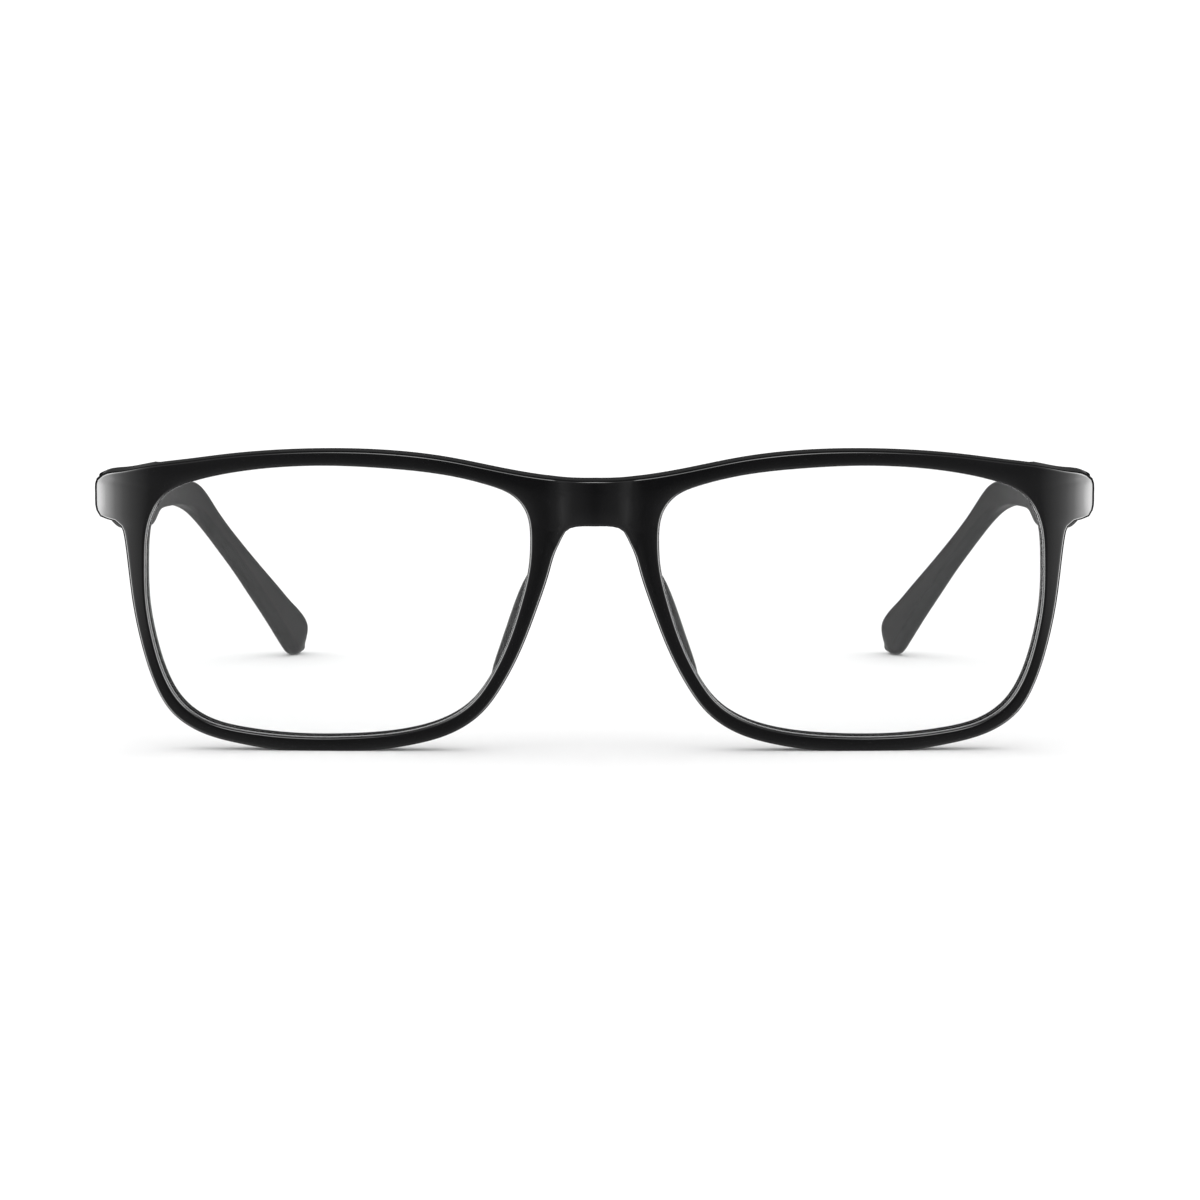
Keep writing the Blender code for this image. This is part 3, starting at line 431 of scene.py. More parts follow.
def turned(profile, centre, axis, sides=ROUND_SIDES):
    """A solid turned about an axis: profile holds radius and distance pairs, outside only."""
    axis = np.array(axis, dtype=float)
    u = np.array([axis[1], axis[2], axis[0]])
    v = np.cross(axis, u)
    verts, rings = [], []
    for radius, along in profile:
        ring = []
        for k in range(sides):
            a = 2 * math.pi * k / sides
            out = u * math.cos(a) + v * math.sin(a)
            verts.append(np.array(centre) + axis * along + radius * out)
            ring.append(len(verts) - 1)
        rings.append(ring)
    faces = [tuple(reversed(f)) for f in loft_faces(rings)]
    faces.append(tuple(reversed(rings[0])))
    faces.append(tuple(rings[-1]))
    return verts, faces


# ---------- hinge places, on the wearer's left

TEMPLE_FRONT = BLOCK_BACK + FIT_GAP
TEMPLE_OUTSIDE = HALF_WIDTH
TEMPLE_INSIDE = HALF_WIDTH - TEMPLE_THICKNESS


def hinge_middle():
    """Height of the hinge's middle: that of the end piece's back."""
    mid = EYE_TOP - END_DROP - END_HEIGHT / 2 - 0.05 * MM
    return place(HALF_WIDTH, mid, BLOCK_BACK - face_depth(HALF_WIDTH))[2]


HINGE_Z = hinge_middle()
AXIS_X = TEMPLE_INSIDE - FIT_GAP - KNUCKLE_RADIUS
AXIS_Y = BLOCK_BACK + KNUCKLE_RADIUS + FIT_GAP * 2
LEAF_LOW = HINGE_Z - LEAF_HEIGHT / 2
LEAF_HIGH = HINGE_Z + LEAF_HEIGHT / 2
FRONT_LEAF_START = AXIS_X - KNUCKLE_RADIUS
FRONT_FIXING_X = (TEMPLE_INSIDE + FRONT_LEAF_START + FRONT_LEAF_WIDTH) / 2
TEMPLE_LEAF_START = AXIS_Y - KNUCKLE_RADIUS
TEMPLE_FIXING_Y = TEMPLE_LEAF_START + 0.7 * TEMPLE_LEAF_LENGTH


def knuckle_spans():
    height = (HINGE_HEIGHT - (KNUCKLES - 1) * KNUCKLE_GAP) / KNUCKLES
    low = HINGE_Z - HINGE_HEIGHT / 2
    return [(low + k * (height + KNUCKLE_GAP), low + k * (height + KNUCKLE_GAP) + height)
            for k in range(KNUCKLES)]


def knuckle(span, towards):
    """An eye round the hinge axis with a web that runs back or sideways into its leaf."""
    outline = [(math.cos(a), math.sin(a)) for a in np.linspace(0, math.pi, ROUND_SIDES // 2 + 1)]
    reach = {"front": AXIS_Y - BLOCK_BACK + LEAF_THICKNESS / 2,
             "temple": TEMPLE_INSIDE - AXIS_X + LEAF_THICKNESS / 2}[towards]
    flat = [(x * KNUCKLE_RADIUS, y * KNUCKLE_RADIUS) for x, y in outline]
    flat += [(-KNUCKLE_RADIUS, -reach), (KNUCKLE_RADIUS, -reach)]
    if towards == "temple":
        flat = [(-y, x) for x, y in flat]
    count = len(flat)
    verts = [(AXIS_X + x, AXIS_Y + y, z) for z in span for x, y in flat]
    faces = [(k, (k + 1) % count, count + (k + 1) % count, count + k) for k in range(count)]
    faces.append(tuple(reversed(range(count))))
    faces.append(tuple(range(count, 2 * count)))
    return verts, faces


def fixing_cut(centre, axis, depth):
    """Space for a fixing screw: its head's seat and its shank's hole."""
    seat = FIXING_HEAD_RADIUS + SCREW_GAP
    hole = FIXING_RADIUS + SCREW_GAP
    head = FIXING_HEAD_HEIGHT + SCREW_GAP
    return turned([(hole, -depth), (hole, -head), (seat, -head), (seat, FIT_GAP)], centre, axis,
                  FIXING_SIDES)


def fixing_screw(centre, axis, length):
    head = FIXING_HEAD_HEIGHT
    rim = 0.08 * MM
    return turned([(0.3 * FIXING_RADIUS, -length), (FIXING_RADIUS, -length + FIXING_RADIUS),
                   (FIXING_RADIUS, -head), (FIXING_HEAD_RADIUS, -head),
                   (FIXING_HEAD_RADIUS, -rim), (FIXING_HEAD_RADIUS - rim, 0.0)], centre, axis,
                  FIXING_SIDES)


def slot_cut(centre, axis, radius, turn):
    """Space for a driver's slot across a screw's head."""
    axis = np.array(axis, dtype=float)
    u = np.array([axis[1], axis[2], axis[0]])
    v = np.cross(axis, u)
    along = u * math.cos(turn) + v * math.sin(turn)
    aside = np.cross(axis, along)
    reach = np.array([SLOT_REACH * radius, SLOT_WIDTH / 2, SLOT_DEPTH])
    corners, faces = box(-reach, reach)
    return [np.array(centre) + along * x + aside * y + axis * z for x, y, z in corners], faces


def hinge_screw():
    shank, head, rim = HINGE_SCREW_RADIUS, HINGE_HEAD_RADIUS, 0.1 * MM
    return turned([(0.6 * shank, -HINGE_HEIGHT), (shank, -HINGE_HEIGHT + 0.2 * MM),
                   (shank, -HINGE_HEAD_HEIGHT), (head, -HINGE_HEAD_HEIGHT),
                   (head, -rim), (head - rim, 0.0)],
                  hinge_top(), (0, 0, 1))


def hinge_top():
    return (AXIS_X, AXIS_Y, HINGE_Z + HINGE_HEIGHT / 2)


def hinge_bore():
    bore = HINGE_SCREW_RADIUS + SCREW_GAP
    seat = HINGE_HEAD_RADIUS + SCREW_GAP
    return turned([(bore, -1.5 * HINGE_HEIGHT), (bore, -HINGE_HEAD_HEIGHT - SCREW_GAP),
                   (seat, -HINGE_HEAD_HEIGHT - SCREW_GAP), (seat, FIT_GAP)],
                  hinge_top(), (0, 0, 1))


def front_fixings():
    return {"upper": (FRONT_FIXING_X, BLOCK_BACK, HINGE_Z + FIXING_SPREAD),
            "lower": (FRONT_FIXING_X, BLOCK_BACK, HINGE_Z - FIXING_SPREAD)}


def temple_fixings():
    return {"upper": (TEMPLE_INSIDE, TEMPLE_FIXING_Y, HINGE_Z + FIXING_SPREAD),
            "lower": (TEMPLE_INSIDE, TEMPLE_FIXING_Y, HINGE_Z - FIXING_SPREAD)}


def lens_solid():
    """A demonstration lens whose edge is ground to a bevel that sits in the rim's groove."""
    eye = eye_outline()
    count = round(eye.length / OUTLINE_STEP)
    half = LENS_THICKNESS / 2
    apex = GROOVE_DEPTH - 0.1 * MM
    verts, rings = [], []
    for s in np.arange(count) * eye.length / count:
        edge, outward = eye.at(s), eye.normal(s)
        body = edge + outward * 0.1 * MM
        ring = []
        spots = [(EYE_CENTRE + (body - EYE_CENTRE) * t, GROOVE_AT - half) for t in (0.35, 0.7, 1.0)]
        spots.append((edge + outward * apex, GROOVE_AT))
        spots += [(EYE_CENTRE + (body - EYE_CENTRE) * t, GROOVE_AT + half)
                  for t in (1.0, 0.7, 0.35)]
        for p, d in spots:
            verts.append(place(p[0], p[1], d))
            ring.append(len(verts) - 1)
        rings.append(ring)
    faces = []
    for a, b in zip(rings, rings[1:] + rings[:1]):
        faces += [(a[j], b[j], b[j + 1], a[j + 1]) for j in range(len(a) - 1)]
    for end, depth in ((0, GROOVE_AT - half), (-1, GROOVE_AT + half)):
        verts.append(place(EYE_CENTRE[0], EYE_CENTRE[1], depth))
        centre = len(verts) - 1
        for a, b in zip(rings, rings[1:] + rings[:1]):
            fan = (centre, b[end], a[end])
            faces.append(fan if end == 0 else tuple(reversed(fan)))
    return verts, faces


def pad_solid():
    """A nose pad: a thin crescent that stands behind the nasal rim and splays outwards."""
    eye = eye_outline()
    start = eye.marks[22]
    middle = start + (eye.marks[26] - start) * PAD_AT
    rows, around = 12, 12
    verts, rings = [], []
    for k in range(rows):
        up = math.sin(math.pi / 2 * (2 * (k + 0.5) / rows - 1))
        s = middle + up * PAD_HEIGHT / 2
        rim = eye.at(s) + eye.normal(s) * 1.15 * MM * RIM_SCALE
        root = place(rim[0], rim[1], RIM_DEPTH + PAD_SEAT)
        fullness = (1 - up * up) ** 0.5
        reach = PAD_REACH * (0.25 + 0.75 * fullness) + FIT_GAP - PAD_SEAT
        thick = PAD_THICKNESS / 2 * (0.45 + 0.55 * fullness)
        ring = []
        for j in range(around):
            a = 2 * math.pi * j / around
            along = reach / 2 * (1 - math.copysign(abs(math.cos(a)) ** 0.7, math.cos(a)))
            aside = thick * math.copysign(abs(math.sin(a)) ** 0.7, math.sin(a))
            x = root[0] + along * math.sin(PAD_SPLAY) + aside * math.cos(PAD_SPLAY)
            y = root[1] + thick * math.sin(PAD_SPLAY) + along * math.cos(PAD_SPLAY) \
                - aside * math.sin(PAD_SPLAY)
            verts.append(np.array([x, y, root[2]]))
            ring.append(len(verts) - 1)
        rings.append(ring)
    faces = [tuple(reversed(f)) for f in loft_faces(rings)]
    faces.append(tuple(rings[0]))
    faces.append(tuple(reversed(rings[-1])))
    return verts, faces


def inward(y):
    """How far the temple has bent inwards at a distance behind its hinge end, and its slope."""
    bent = min(max(y - EAR_AT, 0.0), EAR_LENGTH)
    rest = max(y - EAR_AT - EAR_LENGTH, 0.0)
    slope = EAR_TURN * bent / EAR_LENGTH
    return slope * bent / 2 + slope * rest, slope


def temple_spot(y, z, inset):
    """A point of the temple: inset is measured from its outer face."""
    shift, slope = inward(y)
    turn = math.atan(slope)
    return np.array([TEMPLE_OUTSIDE - shift - inset * math.cos(turn),
                     TEMPLE_FRONT + y - inset * math.sin(turn), HINGE_Z + z])


def temple_edges():
    """The temple's lower and upper edges as curves, scaled to its length and its two ends."""
    stretch = TEMPLE_LENGTH / (127.2 * MM)
    drop = HINGE_Z / (35.5 * MM)
    taller = END_HEIGHT / (6.3 * MM)
    edges = []
    for k in (0, 1):
        points = []
        for y, z in (pair[k] for pair in TEMPLE_SHAPE):
            scale = drop if z < -8 else taller + (1 - taller) * smooth(y / 30)
            points.append((y * MM * stretch, z * MM * scale))
        edges.append(Outline(points))
    return edges


def temple_solid():
    low, high = temple_edges()
    spans = len(TEMPLE_SHAPE) - 1
    tip_start = 1 - 2.5 / spans
    verts, rings = [], []
    stations = np.linspace(0.0, 1.0, spans * TEMPLE_SPAN_STEPS + 1)
    for t in stations:
        a = low.at(np.interp(t * spans, range(spans + 1), low.marks))
        b = high.at(np.interp(t * spans, range(spans + 1), high.marks))
        mid = (a[0] + b[0]) / 2
        thick = TEMPLE_THICKNESS + (TEMPLE_THIN - TEMPLE_THICKNESS) * smooth(mid / EAR_AT)
        thick *= 1 - 0.3 * smooth((t - tip_start) / (1 - tip_start))
        verts, ring = temple_ring(verts, a, b, thick)
        rings.append(ring)
    tip = np.mean([verts[k] for k in rings[-1]], axis=0)
    before = np.mean([verts[k] for k in rings[-2]], axis=0)
    ahead = (tip - before) / np.linalg.norm(tip - before)
    last = rings[-1]
    for shrunk, further in TIP_CAP:
        ring = []
        for k in last:
            verts.append(tip + (verts[k] - tip) * shrunk + ahead * further)
            verts[-1][2] = max(verts[-1][2], 0.0)
            ring.append(len(verts) - 1)
        rings.append(ring)
    faces = loft_faces(rings)
    faces.append(tuple(rings[0]))
    faces.append(tuple(reversed(rings[-1])))
    return verts, faces


def temple_ring(verts, a, b, thick):
    """One cross-section between a lower and an upper edge point, with rounded corners."""
    height = np.linalg.norm(b - a)
    up = (b - a) / height
    past_ear = smooth((a[0] - 1.15 * EAR_AT) / (0.3 * EAR_AT))
    r = TEMPLE_LIP + (TEMPLE_ROUND * thick - TEMPLE_LIP) * past_ear
    r = min(r, 0.47 * thick, 0.47 * height)
    ring = []
    corners = ((0, 0, 180), (thick, 0, 270), (thick, height, 0), (0, height, 90))
    for inset, rise, angle in corners:
        centre_in = inset + (r if inset == 0 else -r)
        centre_up = rise + (r if rise == 0 else -r)
        for turn in np.linspace(0, 90, TEMPLE_LIP_STEPS + 1):
            t = math.radians(angle + turn)
            p = a + up * (centre_up + r * math.sin(t))
            verts.append(temple_spot(p[0], p[1], centre_in + r * math.cos(t)))
            verts[-1][2] = max(verts[-1][2], 0.0)
            ring.append(len(verts) - 1)
    return verts, ring


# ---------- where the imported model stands

LAYOUT_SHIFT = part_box("front_frame")[1].y - BLOCK_BACK
BOTH_SIDES = ((1, "left"), (-1, "right"))


# ---------- materials

def node(tree, kind, inputs=None, **settings):
    made = tree.nodes.new("ShaderNode" + kind)
    for key, value in settings.items():
        setattr(made, key, value)
    for key, value in (inputs or {}).items():
        socket = made.inputs[key]
        if hasattr(value, "is_linked"):
            tree.links.new(value, socket)
        else:
            socket.default_value = value
    return made


def surface(name, slot, **sockets):
    """A Principled material: returns it, its node tree and its shader."""
    m = bpy.data.materials.new(name)
    m.use_nodes = True
    m["slot"] = slot
    shader = m.node_tree.nodes["Principled BSDF"]
    for key, value in sockets.items():
        shader.inputs[key.replace("_", " ")].default_value = value
    return m, m.node_tree, shader


def ramp(tree, fac, stops):
    made = node(tree, "ValToRGB", {"Fac": fac})
    elements = made.color_ramp.elements
    while len(elements) < len(stops):
        elements.new(0.5)
    for element, (at, colour) in zip(elements, stops):
        element.position = at
        element.color = (*colour, 1.0) if len(colour) == 3 else colour
    return made.outputs["Color"]


def spread(tree, fac, low, high, lowest=0.3, highest=0.7):
    made = node(tree, "MapRange", {"Value": fac, "From Min": lowest, "From Max": highest,
                                   "To Min": low, "To Max": high})
    return made.outputs["Result"]


def noise(tree, where, scale, detail=3.0, roughness=0.5):
    return node(tree, "TexNoise", {"Vector": where, "Scale": scale, "Detail": detail,
                                   "Roughness": roughness}).outputs["Fac"]


def bump(tree, height, distance, strength=1.0, below=None):
    made = node(tree, "Bump", {"Height": height, "Distance": distance, "Strength": strength})
    if below:
        tree.links.new(below, made.inputs["Normal"])
    return made.outputs["Normal"]


def polished_acetate(name, slot, dark, light, rough):
    """Buffed sheet plastic: near black, with the faint waves and hairlines of a polishing wheel."""
    m, tree, shader = surface(name, slot, IOR=1.48)
    where = node(tree, "TexCoord").outputs["Object"]
    cloud = noise(tree, where, 60.0, 4.0)
    tree.links.new(ramp(tree, cloud, ((0.3, dark), (0.75, light))), shader.inputs["Base Color"])
    haze = noise(tree, where, 260.0, 5.0, 0.6)
    tree.links.new(spread(tree, haze, rough * 0.75, rough * 1.35), shader.inputs["Roughness"])
    waves = noise(tree, where, 110.0, 1.0)
    stretched = node(tree, "Mapping", {"Vector": where, "Scale": (1.0, 1.0, 9.0)}).outputs["Vector"]
    hairs = noise(tree, stretched, 3200.0, 2.0)
    soft = bump(tree, waves, 0.00002, 0.35)
    tree.links.new(bump(tree, hairs, 0.0000006, 0.1, soft), shader.inputs["Normal"])
    return m


def satin_acetate(name, slot):
    """The temples: tumbled plastic with a slightly streaked sheen."""
    m, tree, shader = surface(name, slot, IOR=1.48, Specular_IOR_Level=0.15)
    where = node(tree, "TexCoord").outputs["Object"]
    cloud = noise(tree, where, 45.0, 2.0)
    tones = ((0.2, (0.0045, 0.0045, 0.005)), (0.8, (0.006, 0.006, 0.0066)))
    tree.links.new(ramp(tree, cloud, tones), shader.inputs["Base Color"])
    along = node(tree, "Mapping", {"Vector": where, "Scale": (1.0, 0.18, 1.0)}).outputs["Vector"]
    streak = noise(tree, along, 180.0, 1.0)
    tree.links.new(spread(tree, streak, 0.27, 0.31, 0.1, 0.9), shader.inputs["Roughness"])
    return m


def clear_lens(name, slot):
    """A clear plastic lens, very faintly tinted here and there."""
    m, tree, shader = surface(name, slot, IOR=1.5, Transmission_Weight=1.0, Roughness=0.0)
    where = node(tree, "TexCoord").outputs["Object"]
    tint = noise(tree, where, 20.0, 2.0)
    tree.links.new(ramp(tree, tint, ((0.3, (0.985, 0.992, 0.99)), (0.7, (0.995, 0.998, 0.998)))),
                   shader.inputs["Base Color"])
    return m


def metal(name, slot, colour, rough, stretch, grain_scale):
    """Machined metal: drawn or turned lines, a mottled tumbled sheen and a duller low tone."""
    m, tree, shader = surface(name, slot, Metallic=1.0)
    where = node(tree, "TexCoord").outputs["Object"]
    mottle = noise(tree, where, 900.0, 4.0, 0.6)
    dull = tuple(c * 0.72 for c in colour)
    tree.links.new(ramp(tree, mottle, ((0.25, dull), (0.7, colour))), shader.inputs["Base Color"])
    tree.links.new(spread(tree, mottle, rough * 1.3, rough * 0.8), shader.inputs["Roughness"])
    drawn = node(tree, "Mapping", {"Vector": where, "Scale": stretch}).outputs["Vector"]
    lines = noise(tree, drawn, grain_scale, 3.0)
    tree.links.new(bump(tree, lines, 0.000004, 0.6), shader.inputs["Normal"])
    return m


# ---------- pieces

def raw_object(name, solid, side=1):
    """A mesh object in the row frame, its faces pointing out."""
    verts, faces = solid
    mesh = bpy.data.meshes.new(name)
    mesh.from_pydata([(v[0] * side, v[1] + LAYOUT_SHIFT, v[2]) for v in verts], [], faces)
    turn = bmesh.new()
    turn.from_mesh(mesh)
    bmesh.ops.remove_doubles(turn, verts=turn.verts, dist=0.0000005)
    bmesh.ops.recalc_face_normals(turn, faces=turn.faces)
    turn.to_mesh(mesh)
    turn.free()
    thing = bpy.data.objects.new(name, mesh)
    bpy.context.collection.objects.link(thing)
    return thing


def apply_modifiers(thing):
    graph = bpy.context.evaluated_depsgraph_get()
    mesh = bpy.data.meshes.new_from_object(thing.evaluated_get(graph))
    thing.modifiers.clear()
    thing.data = mesh


def combine(thing, solids, side, operation):
    """Join solids to a piece, or cut them away, and keep the result as its mesh."""
    helpers = []
    for solid in solids:
        helper = raw_object("helper", solid, side)
        modifier = thing.modifiers.new("step", "BOOLEAN")
        modifier.operation = operation
        modifier.object = helper
        helpers.append(helper)
    apply_modifiers(thing)
    for helper in helpers:
        bpy.data.objects.remove(helper)


def finish_piece(thing, body, finish, nodes, angle=35.0):
    """Smooth shading, a material, and the piece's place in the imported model."""
    thing.data.shade_smooth()
    thing.data.set_sharp_from_angle(angle=math.radians(angle))
    thing.data.materials.clear()
    thing.data.materials.append(finish)
    weighted = thing.modifiers.new("shading", "WEIGHTED_NORMAL")
    weighted.keep_sharp = True
    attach(thing, body)
    if nodes:
        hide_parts(*nodes)
    return thing


def make_front(finish):
    verts, faces = front_half()
    other = [np.array([-v[0], v[1], v[2]]) for v in verts]
    both = verts + other
    faces = faces + [tuple(reversed([k + len(verts) for k in f])) for f in faces]
    front = raw_object("front_body", (both, faces))
    for side, _ in BOTH_SIDES:
        seat = box((FRONT_LEAF_START - LEAF_ROOM, BLOCK_BACK - LEAF_THICKNESS - LEAF_ROOM,
                    LEAF_LOW - LEAF_ROOM),
                   (FRONT_LEAF_START + FRONT_LEAF_WIDTH + LEAF_ROOM, BLOCK_BACK + 2 * MM,
                    LEAF_HIGH + LEAF_ROOM))
        combine(front, [seat], side, "DIFFERENCE")
    finish_piece(front, "front", finish, ["front_frame"])


def make_lenses(finish):
    for side, name in BOTH_SIDES:
        lens = raw_object("lens_" + name + "_clear", lens_solid(), side)
        finish_piece(lens, "front", finish, ["lens_" + name], 25.0)
        lens.visible_shadow = False


def make_pads(finish):
    for side, name in BOTH_SIDES:
        pad = raw_object("nose_pad_" + name + "_polished", pad_solid(), side)
        finish_piece(pad, "front", finish, ["nose_pad_" + name], 50.0)


def make_temples(finish):
    for side, name in BOTH_SIDES:
        temple = raw_object("temple_" + name + "_arm", temple_solid(), side)
        seat = box((TEMPLE_INSIDE - 2 * MM, TEMPLE_FRONT - 1 * MM, LEAF_LOW - LEAF_ROOM),
                   (TEMPLE_INSIDE + LEAF_THICKNESS + LEAF_ROOM,
                    TEMPLE_LEAF_START + TEMPLE_LEAF_LENGTH + LEAF_ROOM, LEAF_HIGH + LEAF_ROOM))
        combine(temple, [seat], side, "DIFFERENCE")
        finish_piece(temple, "temple_" + name, finish, ["temple_" + name], 40.0)


def make_leaf(body, towards, name, side, plate, levels, fixings, axis, finish):
    """A hinge leaf: its plate and knuckles, bored for the screws, with its edges broken."""
    leaf = raw_object(towards + "_leaf_" + name + "_machined", plate, side)
    spans = knuckle_spans()
    combine(leaf, [knuckle(spans[k], towards) for k in levels], side, "UNION")
    combine(leaf, [hinge_bore()], side, "DIFFERENCE")
    combine(leaf, [fixing_cut(spot, axis, 2 * LEAF_THICKNESS) for spot in fixings.values()], side,
            "DIFFERENCE")
    bevel = leaf.modifiers.new("edges", "BEVEL")
    bevel.width = LEAF_BEVEL
    bevel.segments = 2
    bevel.angle_limit = math.radians(50.0)
    apply_modifiers(leaf)
    finish_piece(leaf, body, finish, [towards + "_hinge_leaf_" + name], 30.0)


def make_screw(body, node_name, side, solid, head, axis, radius, turn, finish):
    screw = raw_object(node_name + "_slotted", solid, side)
    combine(screw, [slot_cut(head, axis, radius, turn)], side, "DIFFERENCE")
    finish_piece(screw, body, finish, [node_name], 30.0)


def make_hinges(leaf_finish, screw_finish):
    for side, name in BOTH_SIDES:
        front_plate = box((FRONT_LEAF_START, BLOCK_BACK - LEAF_THICKNESS, LEAF_LOW),
                          (FRONT_LEAF_START + FRONT_LEAF_WIDTH, BLOCK_BACK, LEAF_HIGH))
        temple_plate = box((TEMPLE_INSIDE, TEMPLE_LEAF_START, LEAF_LOW),
                           (TEMPLE_INSIDE + LEAF_THICKNESS, TEMPLE_LEAF_START + TEMPLE_LEAF_LENGTH,
                            LEAF_HIGH))
        leaves = (("front", "front", front_plate, range(0, KNUCKLES, 2),
                   front_fixings(), (0, 1, 0), FRONT_FIXING_LENGTH),
                  ("temple_" + name, "temple", temple_plate, range(1, KNUCKLES, 2),
                   temple_fixings(), (-1, 0, 0), TEMPLE_FIXING_LENGTH))
        turn = 0.4 * side
        for body, towards, plate, levels, fixings, axis, length in leaves:
            make_leaf(body, towards, name, side, plate, levels, fixings, axis, leaf_finish)
            for level, spot in fixings.items():
                turn += 1.1
                make_screw(body, towards + "_leaf_screw_" + level + "_" + name, side,
                           fixing_screw(spot, axis, length), spot, axis, FIXING_HEAD_RADIUS, turn,
                           screw_finish)
        make_screw("front", "hinge_screw_" + name, side, hinge_screw(), hinge_top(), (0, 0, 1),
                   HINGE_HEAD_RADIUS, turn + 0.7, screw_finish)


def dress_cad_nodes(finishes):
    """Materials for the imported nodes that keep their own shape."""
    for name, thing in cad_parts.items():
        for key, finish in finishes.items():
            if key in name:
                thing.data.materials.clear()
                thing.data.materials.append(finish)


# ---------- studio

CAMERA_LENS = 114.6             # mm, on a sensor 36 mm wide
CAMERA_SHIFT = (0.0045, 0.0034)
CAMERA_RISE = math.radians(5.3)
CAMERA_DISTANCE = 532.0 * MM
CAMERA_BEHIND = 1.3 * MM        # of the point aimed at, behind the front's foremost point
CAMERA_AIM_HEIGHT = 21.0 * MM
FLOOR_HALF = 4.0                # metres from the middle to each edge
FLOOR_TONE = 0.9

# Radiance seen in reflections, by degrees round from straight ahead of the front, and how much
# of it is left by degrees of rise: soft strips at both sides, the white sweep behind and the
# white table in front, both below the horizon, and a small softbox high up in front.
STUDIO_WHITE = 1.28
STUDIO_PEAK = 18.0
STUDIO_DIM = 0.06
STRIP_ROUND = ((0, 0.0), (19, 0.2), (27, 0.58), (35, 1.05), (42, 1.75), (50, 3.4), (55, 6.0),
               (60, 9.0), (65, 18.0), (72, 16.0), (79, 2.0), (86, 0.2), (110, 0.0))
STRIP_RISE = ((-90, 0.0), (-60, 0.1), (-40, 1.0), (35, 1.0), (60, 0.1), (90, 0.0))
SWEEP_ROUND = ((0, 0.0), (110, 0.0), (135, 0.15), (156, 0.2), (168, 0.26), (180, 0.3))
SWEEP_RISE = ((-90, 0.5), (-40, 1.0), (-3, 1.0), (1, 0.2), (4, 0.0))
TABLE_ROUND = ((0, 0.6), (70, 0.6), (110, 0.3), (140, 0.0))
TABLE_RISE = ((-90, 0.5), (-60, 1.0), (-40, 0.9), (-26, 0.5), (-13, 0.08), (-8, 0.0))
TOP_ROUND = ((0, 9.0), (8, 7.0), (18, 0.8), (40, 0.0))
TOP_RISE = ((30, 0.0), (38, 1.0), (52, 1.0), (62, 0.0))


def make_camera():
    data = bpy.data.cameras.new("camera")
    data.sensor_width = 36.0
    data.lens = CAMERA_LENS
    data.shift_x, data.shift_y = CAMERA_SHIFT
    data.clip_start = 0.01
    camera = bpy.data.objects.new("camera", data)
    bpy.context.collection.objects.link(camera)
    aim = Vector((0.0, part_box("front_frame")[0].y + CAMERA_BEHIND, CAMERA_AIM_HEIGHT))
    towards = Vector((0.0, -math.cos(CAMERA_RISE), math.sin(CAMERA_RISE)))
    camera.location = aim + CAMERA_DISTANCE * towards
    camera.rotation_euler = (math.pi / 2 - CAMERA_RISE, 0.0, 0.0)
    bpy.context.scene.camera = camera


def make_floor():
    mesh = bpy.data.meshes.new("floor")
    r = FLOOR_HALF
    mesh.from_pydata([(-r, -r, 0), (r, -r, 0), (r, r, 0), (-r, r, 0)], [], [(0, 1, 2, 3)])
    floor = bpy.data.objects.new("floor", mesh)
    bpy.context.collection.objects.link(floor)
    m, tree, shader = surface("white_floor", "", Roughness=0.9)
    shader.inputs["Base Color"].default_value = (FLOOR_TONE, FLOOR_TONE, FLOOR_TONE, 1.0)
    shader.inputs["Specular IOR Level"].default_value = 0.0
    mesh.materials.append(m)
    floor.visible_glossy = False


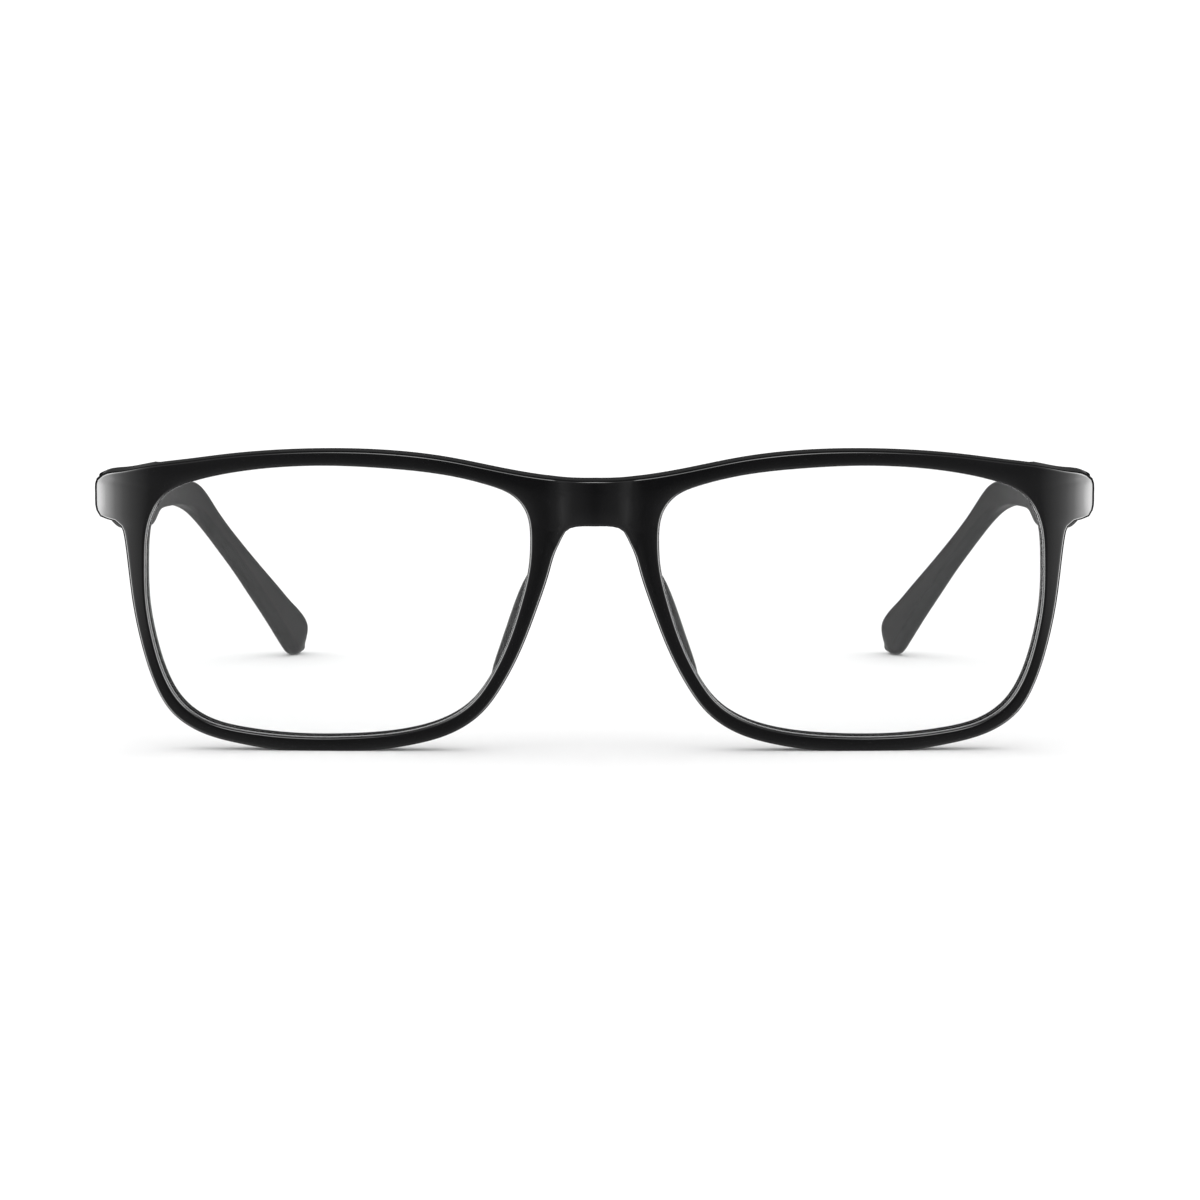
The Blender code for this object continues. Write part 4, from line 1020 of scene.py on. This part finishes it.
def make_studio():
    """White all round for what is seen and lit; for reflections, softboxes at both sides."""
    world = bpy.data.worlds.new("studio")
    bpy.context.scene.world = world
    world.use_nodes = True
    tree = world.node_tree
    tree.nodes.clear()
    where = node(tree, "TexCoord").outputs["Generated"]
    parts = node(tree, "SeparateXYZ", {"Vector": where}).outputs
    across = node(tree, "Math", {0: parts["X"]}, operation="ABSOLUTE").outputs[0]
    ahead = node(tree, "Math", {0: parts["Y"], 1: -1.0}, operation="MULTIPLY").outputs[0]
    turn = node(tree, "Math", {0: across, 1: ahead}, operation="ARCTAN2").outputs[0]
    degrees = node(tree, "Math", {0: turn, 1: 180.0 / math.pi}, operation="MULTIPLY").outputs[0]
    share = node(tree, "Math", {0: degrees, 1: 180.0}, operation="DIVIDE").outputs[0]
    rise = node(tree, "Math", {0: parts["Z"]}, operation="ARCSINE").outputs[0]
    height = node(tree, "Math", {0: rise, 1: 1.0 / math.pi, 2: 0.5},
                  operation="MULTIPLY_ADD").outputs[0]

    def round_about(stops):
        return ramp(tree, share, [(a / 180.0, (b / STUDIO_PEAK,) * 3) for a, b in stops])

    def up_and_down(stops):
        return ramp(tree, height, [((e + 90.0) / 180.0, (b,) * 3) for e, b in stops])

    def mixed(kind, first, second, fac=1.0):
        return node(tree, "MixRGB", {"Fac": fac, "Color1": first, "Color2": second},
                    blend_type=kind).outputs[0]

    strips = mixed("MULTIPLY", round_about(STRIP_ROUND), up_and_down(STRIP_RISE))
    sweep = mixed("MULTIPLY", round_about(SWEEP_ROUND), up_and_down(SWEEP_RISE))
    table = mixed("MULTIPLY", round_about(TABLE_ROUND), up_and_down(TABLE_RISE))
    top = mixed("MULTIPLY", round_about(TOP_ROUND), up_and_down(TOP_RISE))
    lit = mixed("ADD", mixed("ADD", strips, sweep), mixed("ADD", table, top))
    summed = mixed("ADD", lit, (STUDIO_DIM / STUDIO_PEAK,) * 3 + (1.0,))
    mirrored = node(tree, "Background", {"Color": summed, "Strength": STUDIO_PEAK}).outputs[0]
    plain = node(tree, "Background", {"Color": (1.0, 1.0, 1.0, 1.0),
                                      "Strength": STUDIO_WHITE}).outputs[0]
    path = node(tree, "LightPath").outputs
    reflected = node(tree, "Math", {0: path["Is Glossy Ray"], 1: path["Is Transmission Ray"]},
                     operation="SUBTRACT", use_clamp=True).outputs[0]
    chosen = node(tree, "MixShader", {0: reflected, 1: plain, 2: mirrored}).outputs[0]
    node(tree, "OutputWorld", {"Surface": chosen})


def build():
    scene = bpy.context.scene
    scene.view_settings.view_transform = "Standard"
    scene.view_settings.look = "None"
    front = polished_acetate("front_acetate", "front_acetate", (0.0025, 0.0025, 0.0028),
                             (0.0042, 0.0042, 0.0046), 0.055)
    pad = polished_acetate("pad_acetate", "pad_acetate", (0.006, 0.006, 0.0065),
                           (0.010, 0.010, 0.011), 0.12)
    arm = satin_acetate("temple_acetate", "temple_acetate")
    lens = clear_lens("lens_clear", "lens_clear")
    silver = metal("hinge_metal", "hinge_metal", (0.66, 0.63, 0.58), 0.28, (0.05, 1.0, 1.0), 9000.0)
    steel = metal("screw_steel", "screw_steel", (0.62, 0.62, 0.63), 0.22, (1.0, 1.0, 0.2), 9000.0)
    wire = metal("core_wire", "core_wire", (0.60, 0.59, 0.56), 0.3, (1.0, 0.03, 1.0), 9000.0)
    make_front(front)
    make_lenses(lens)
    make_pads(pad)
    make_temples(arm)
    make_hinges(silver, steel)
    dress_cad_nodes({"core_wire": wire})
    make_floor()
    make_studio()
    make_camera()


build()
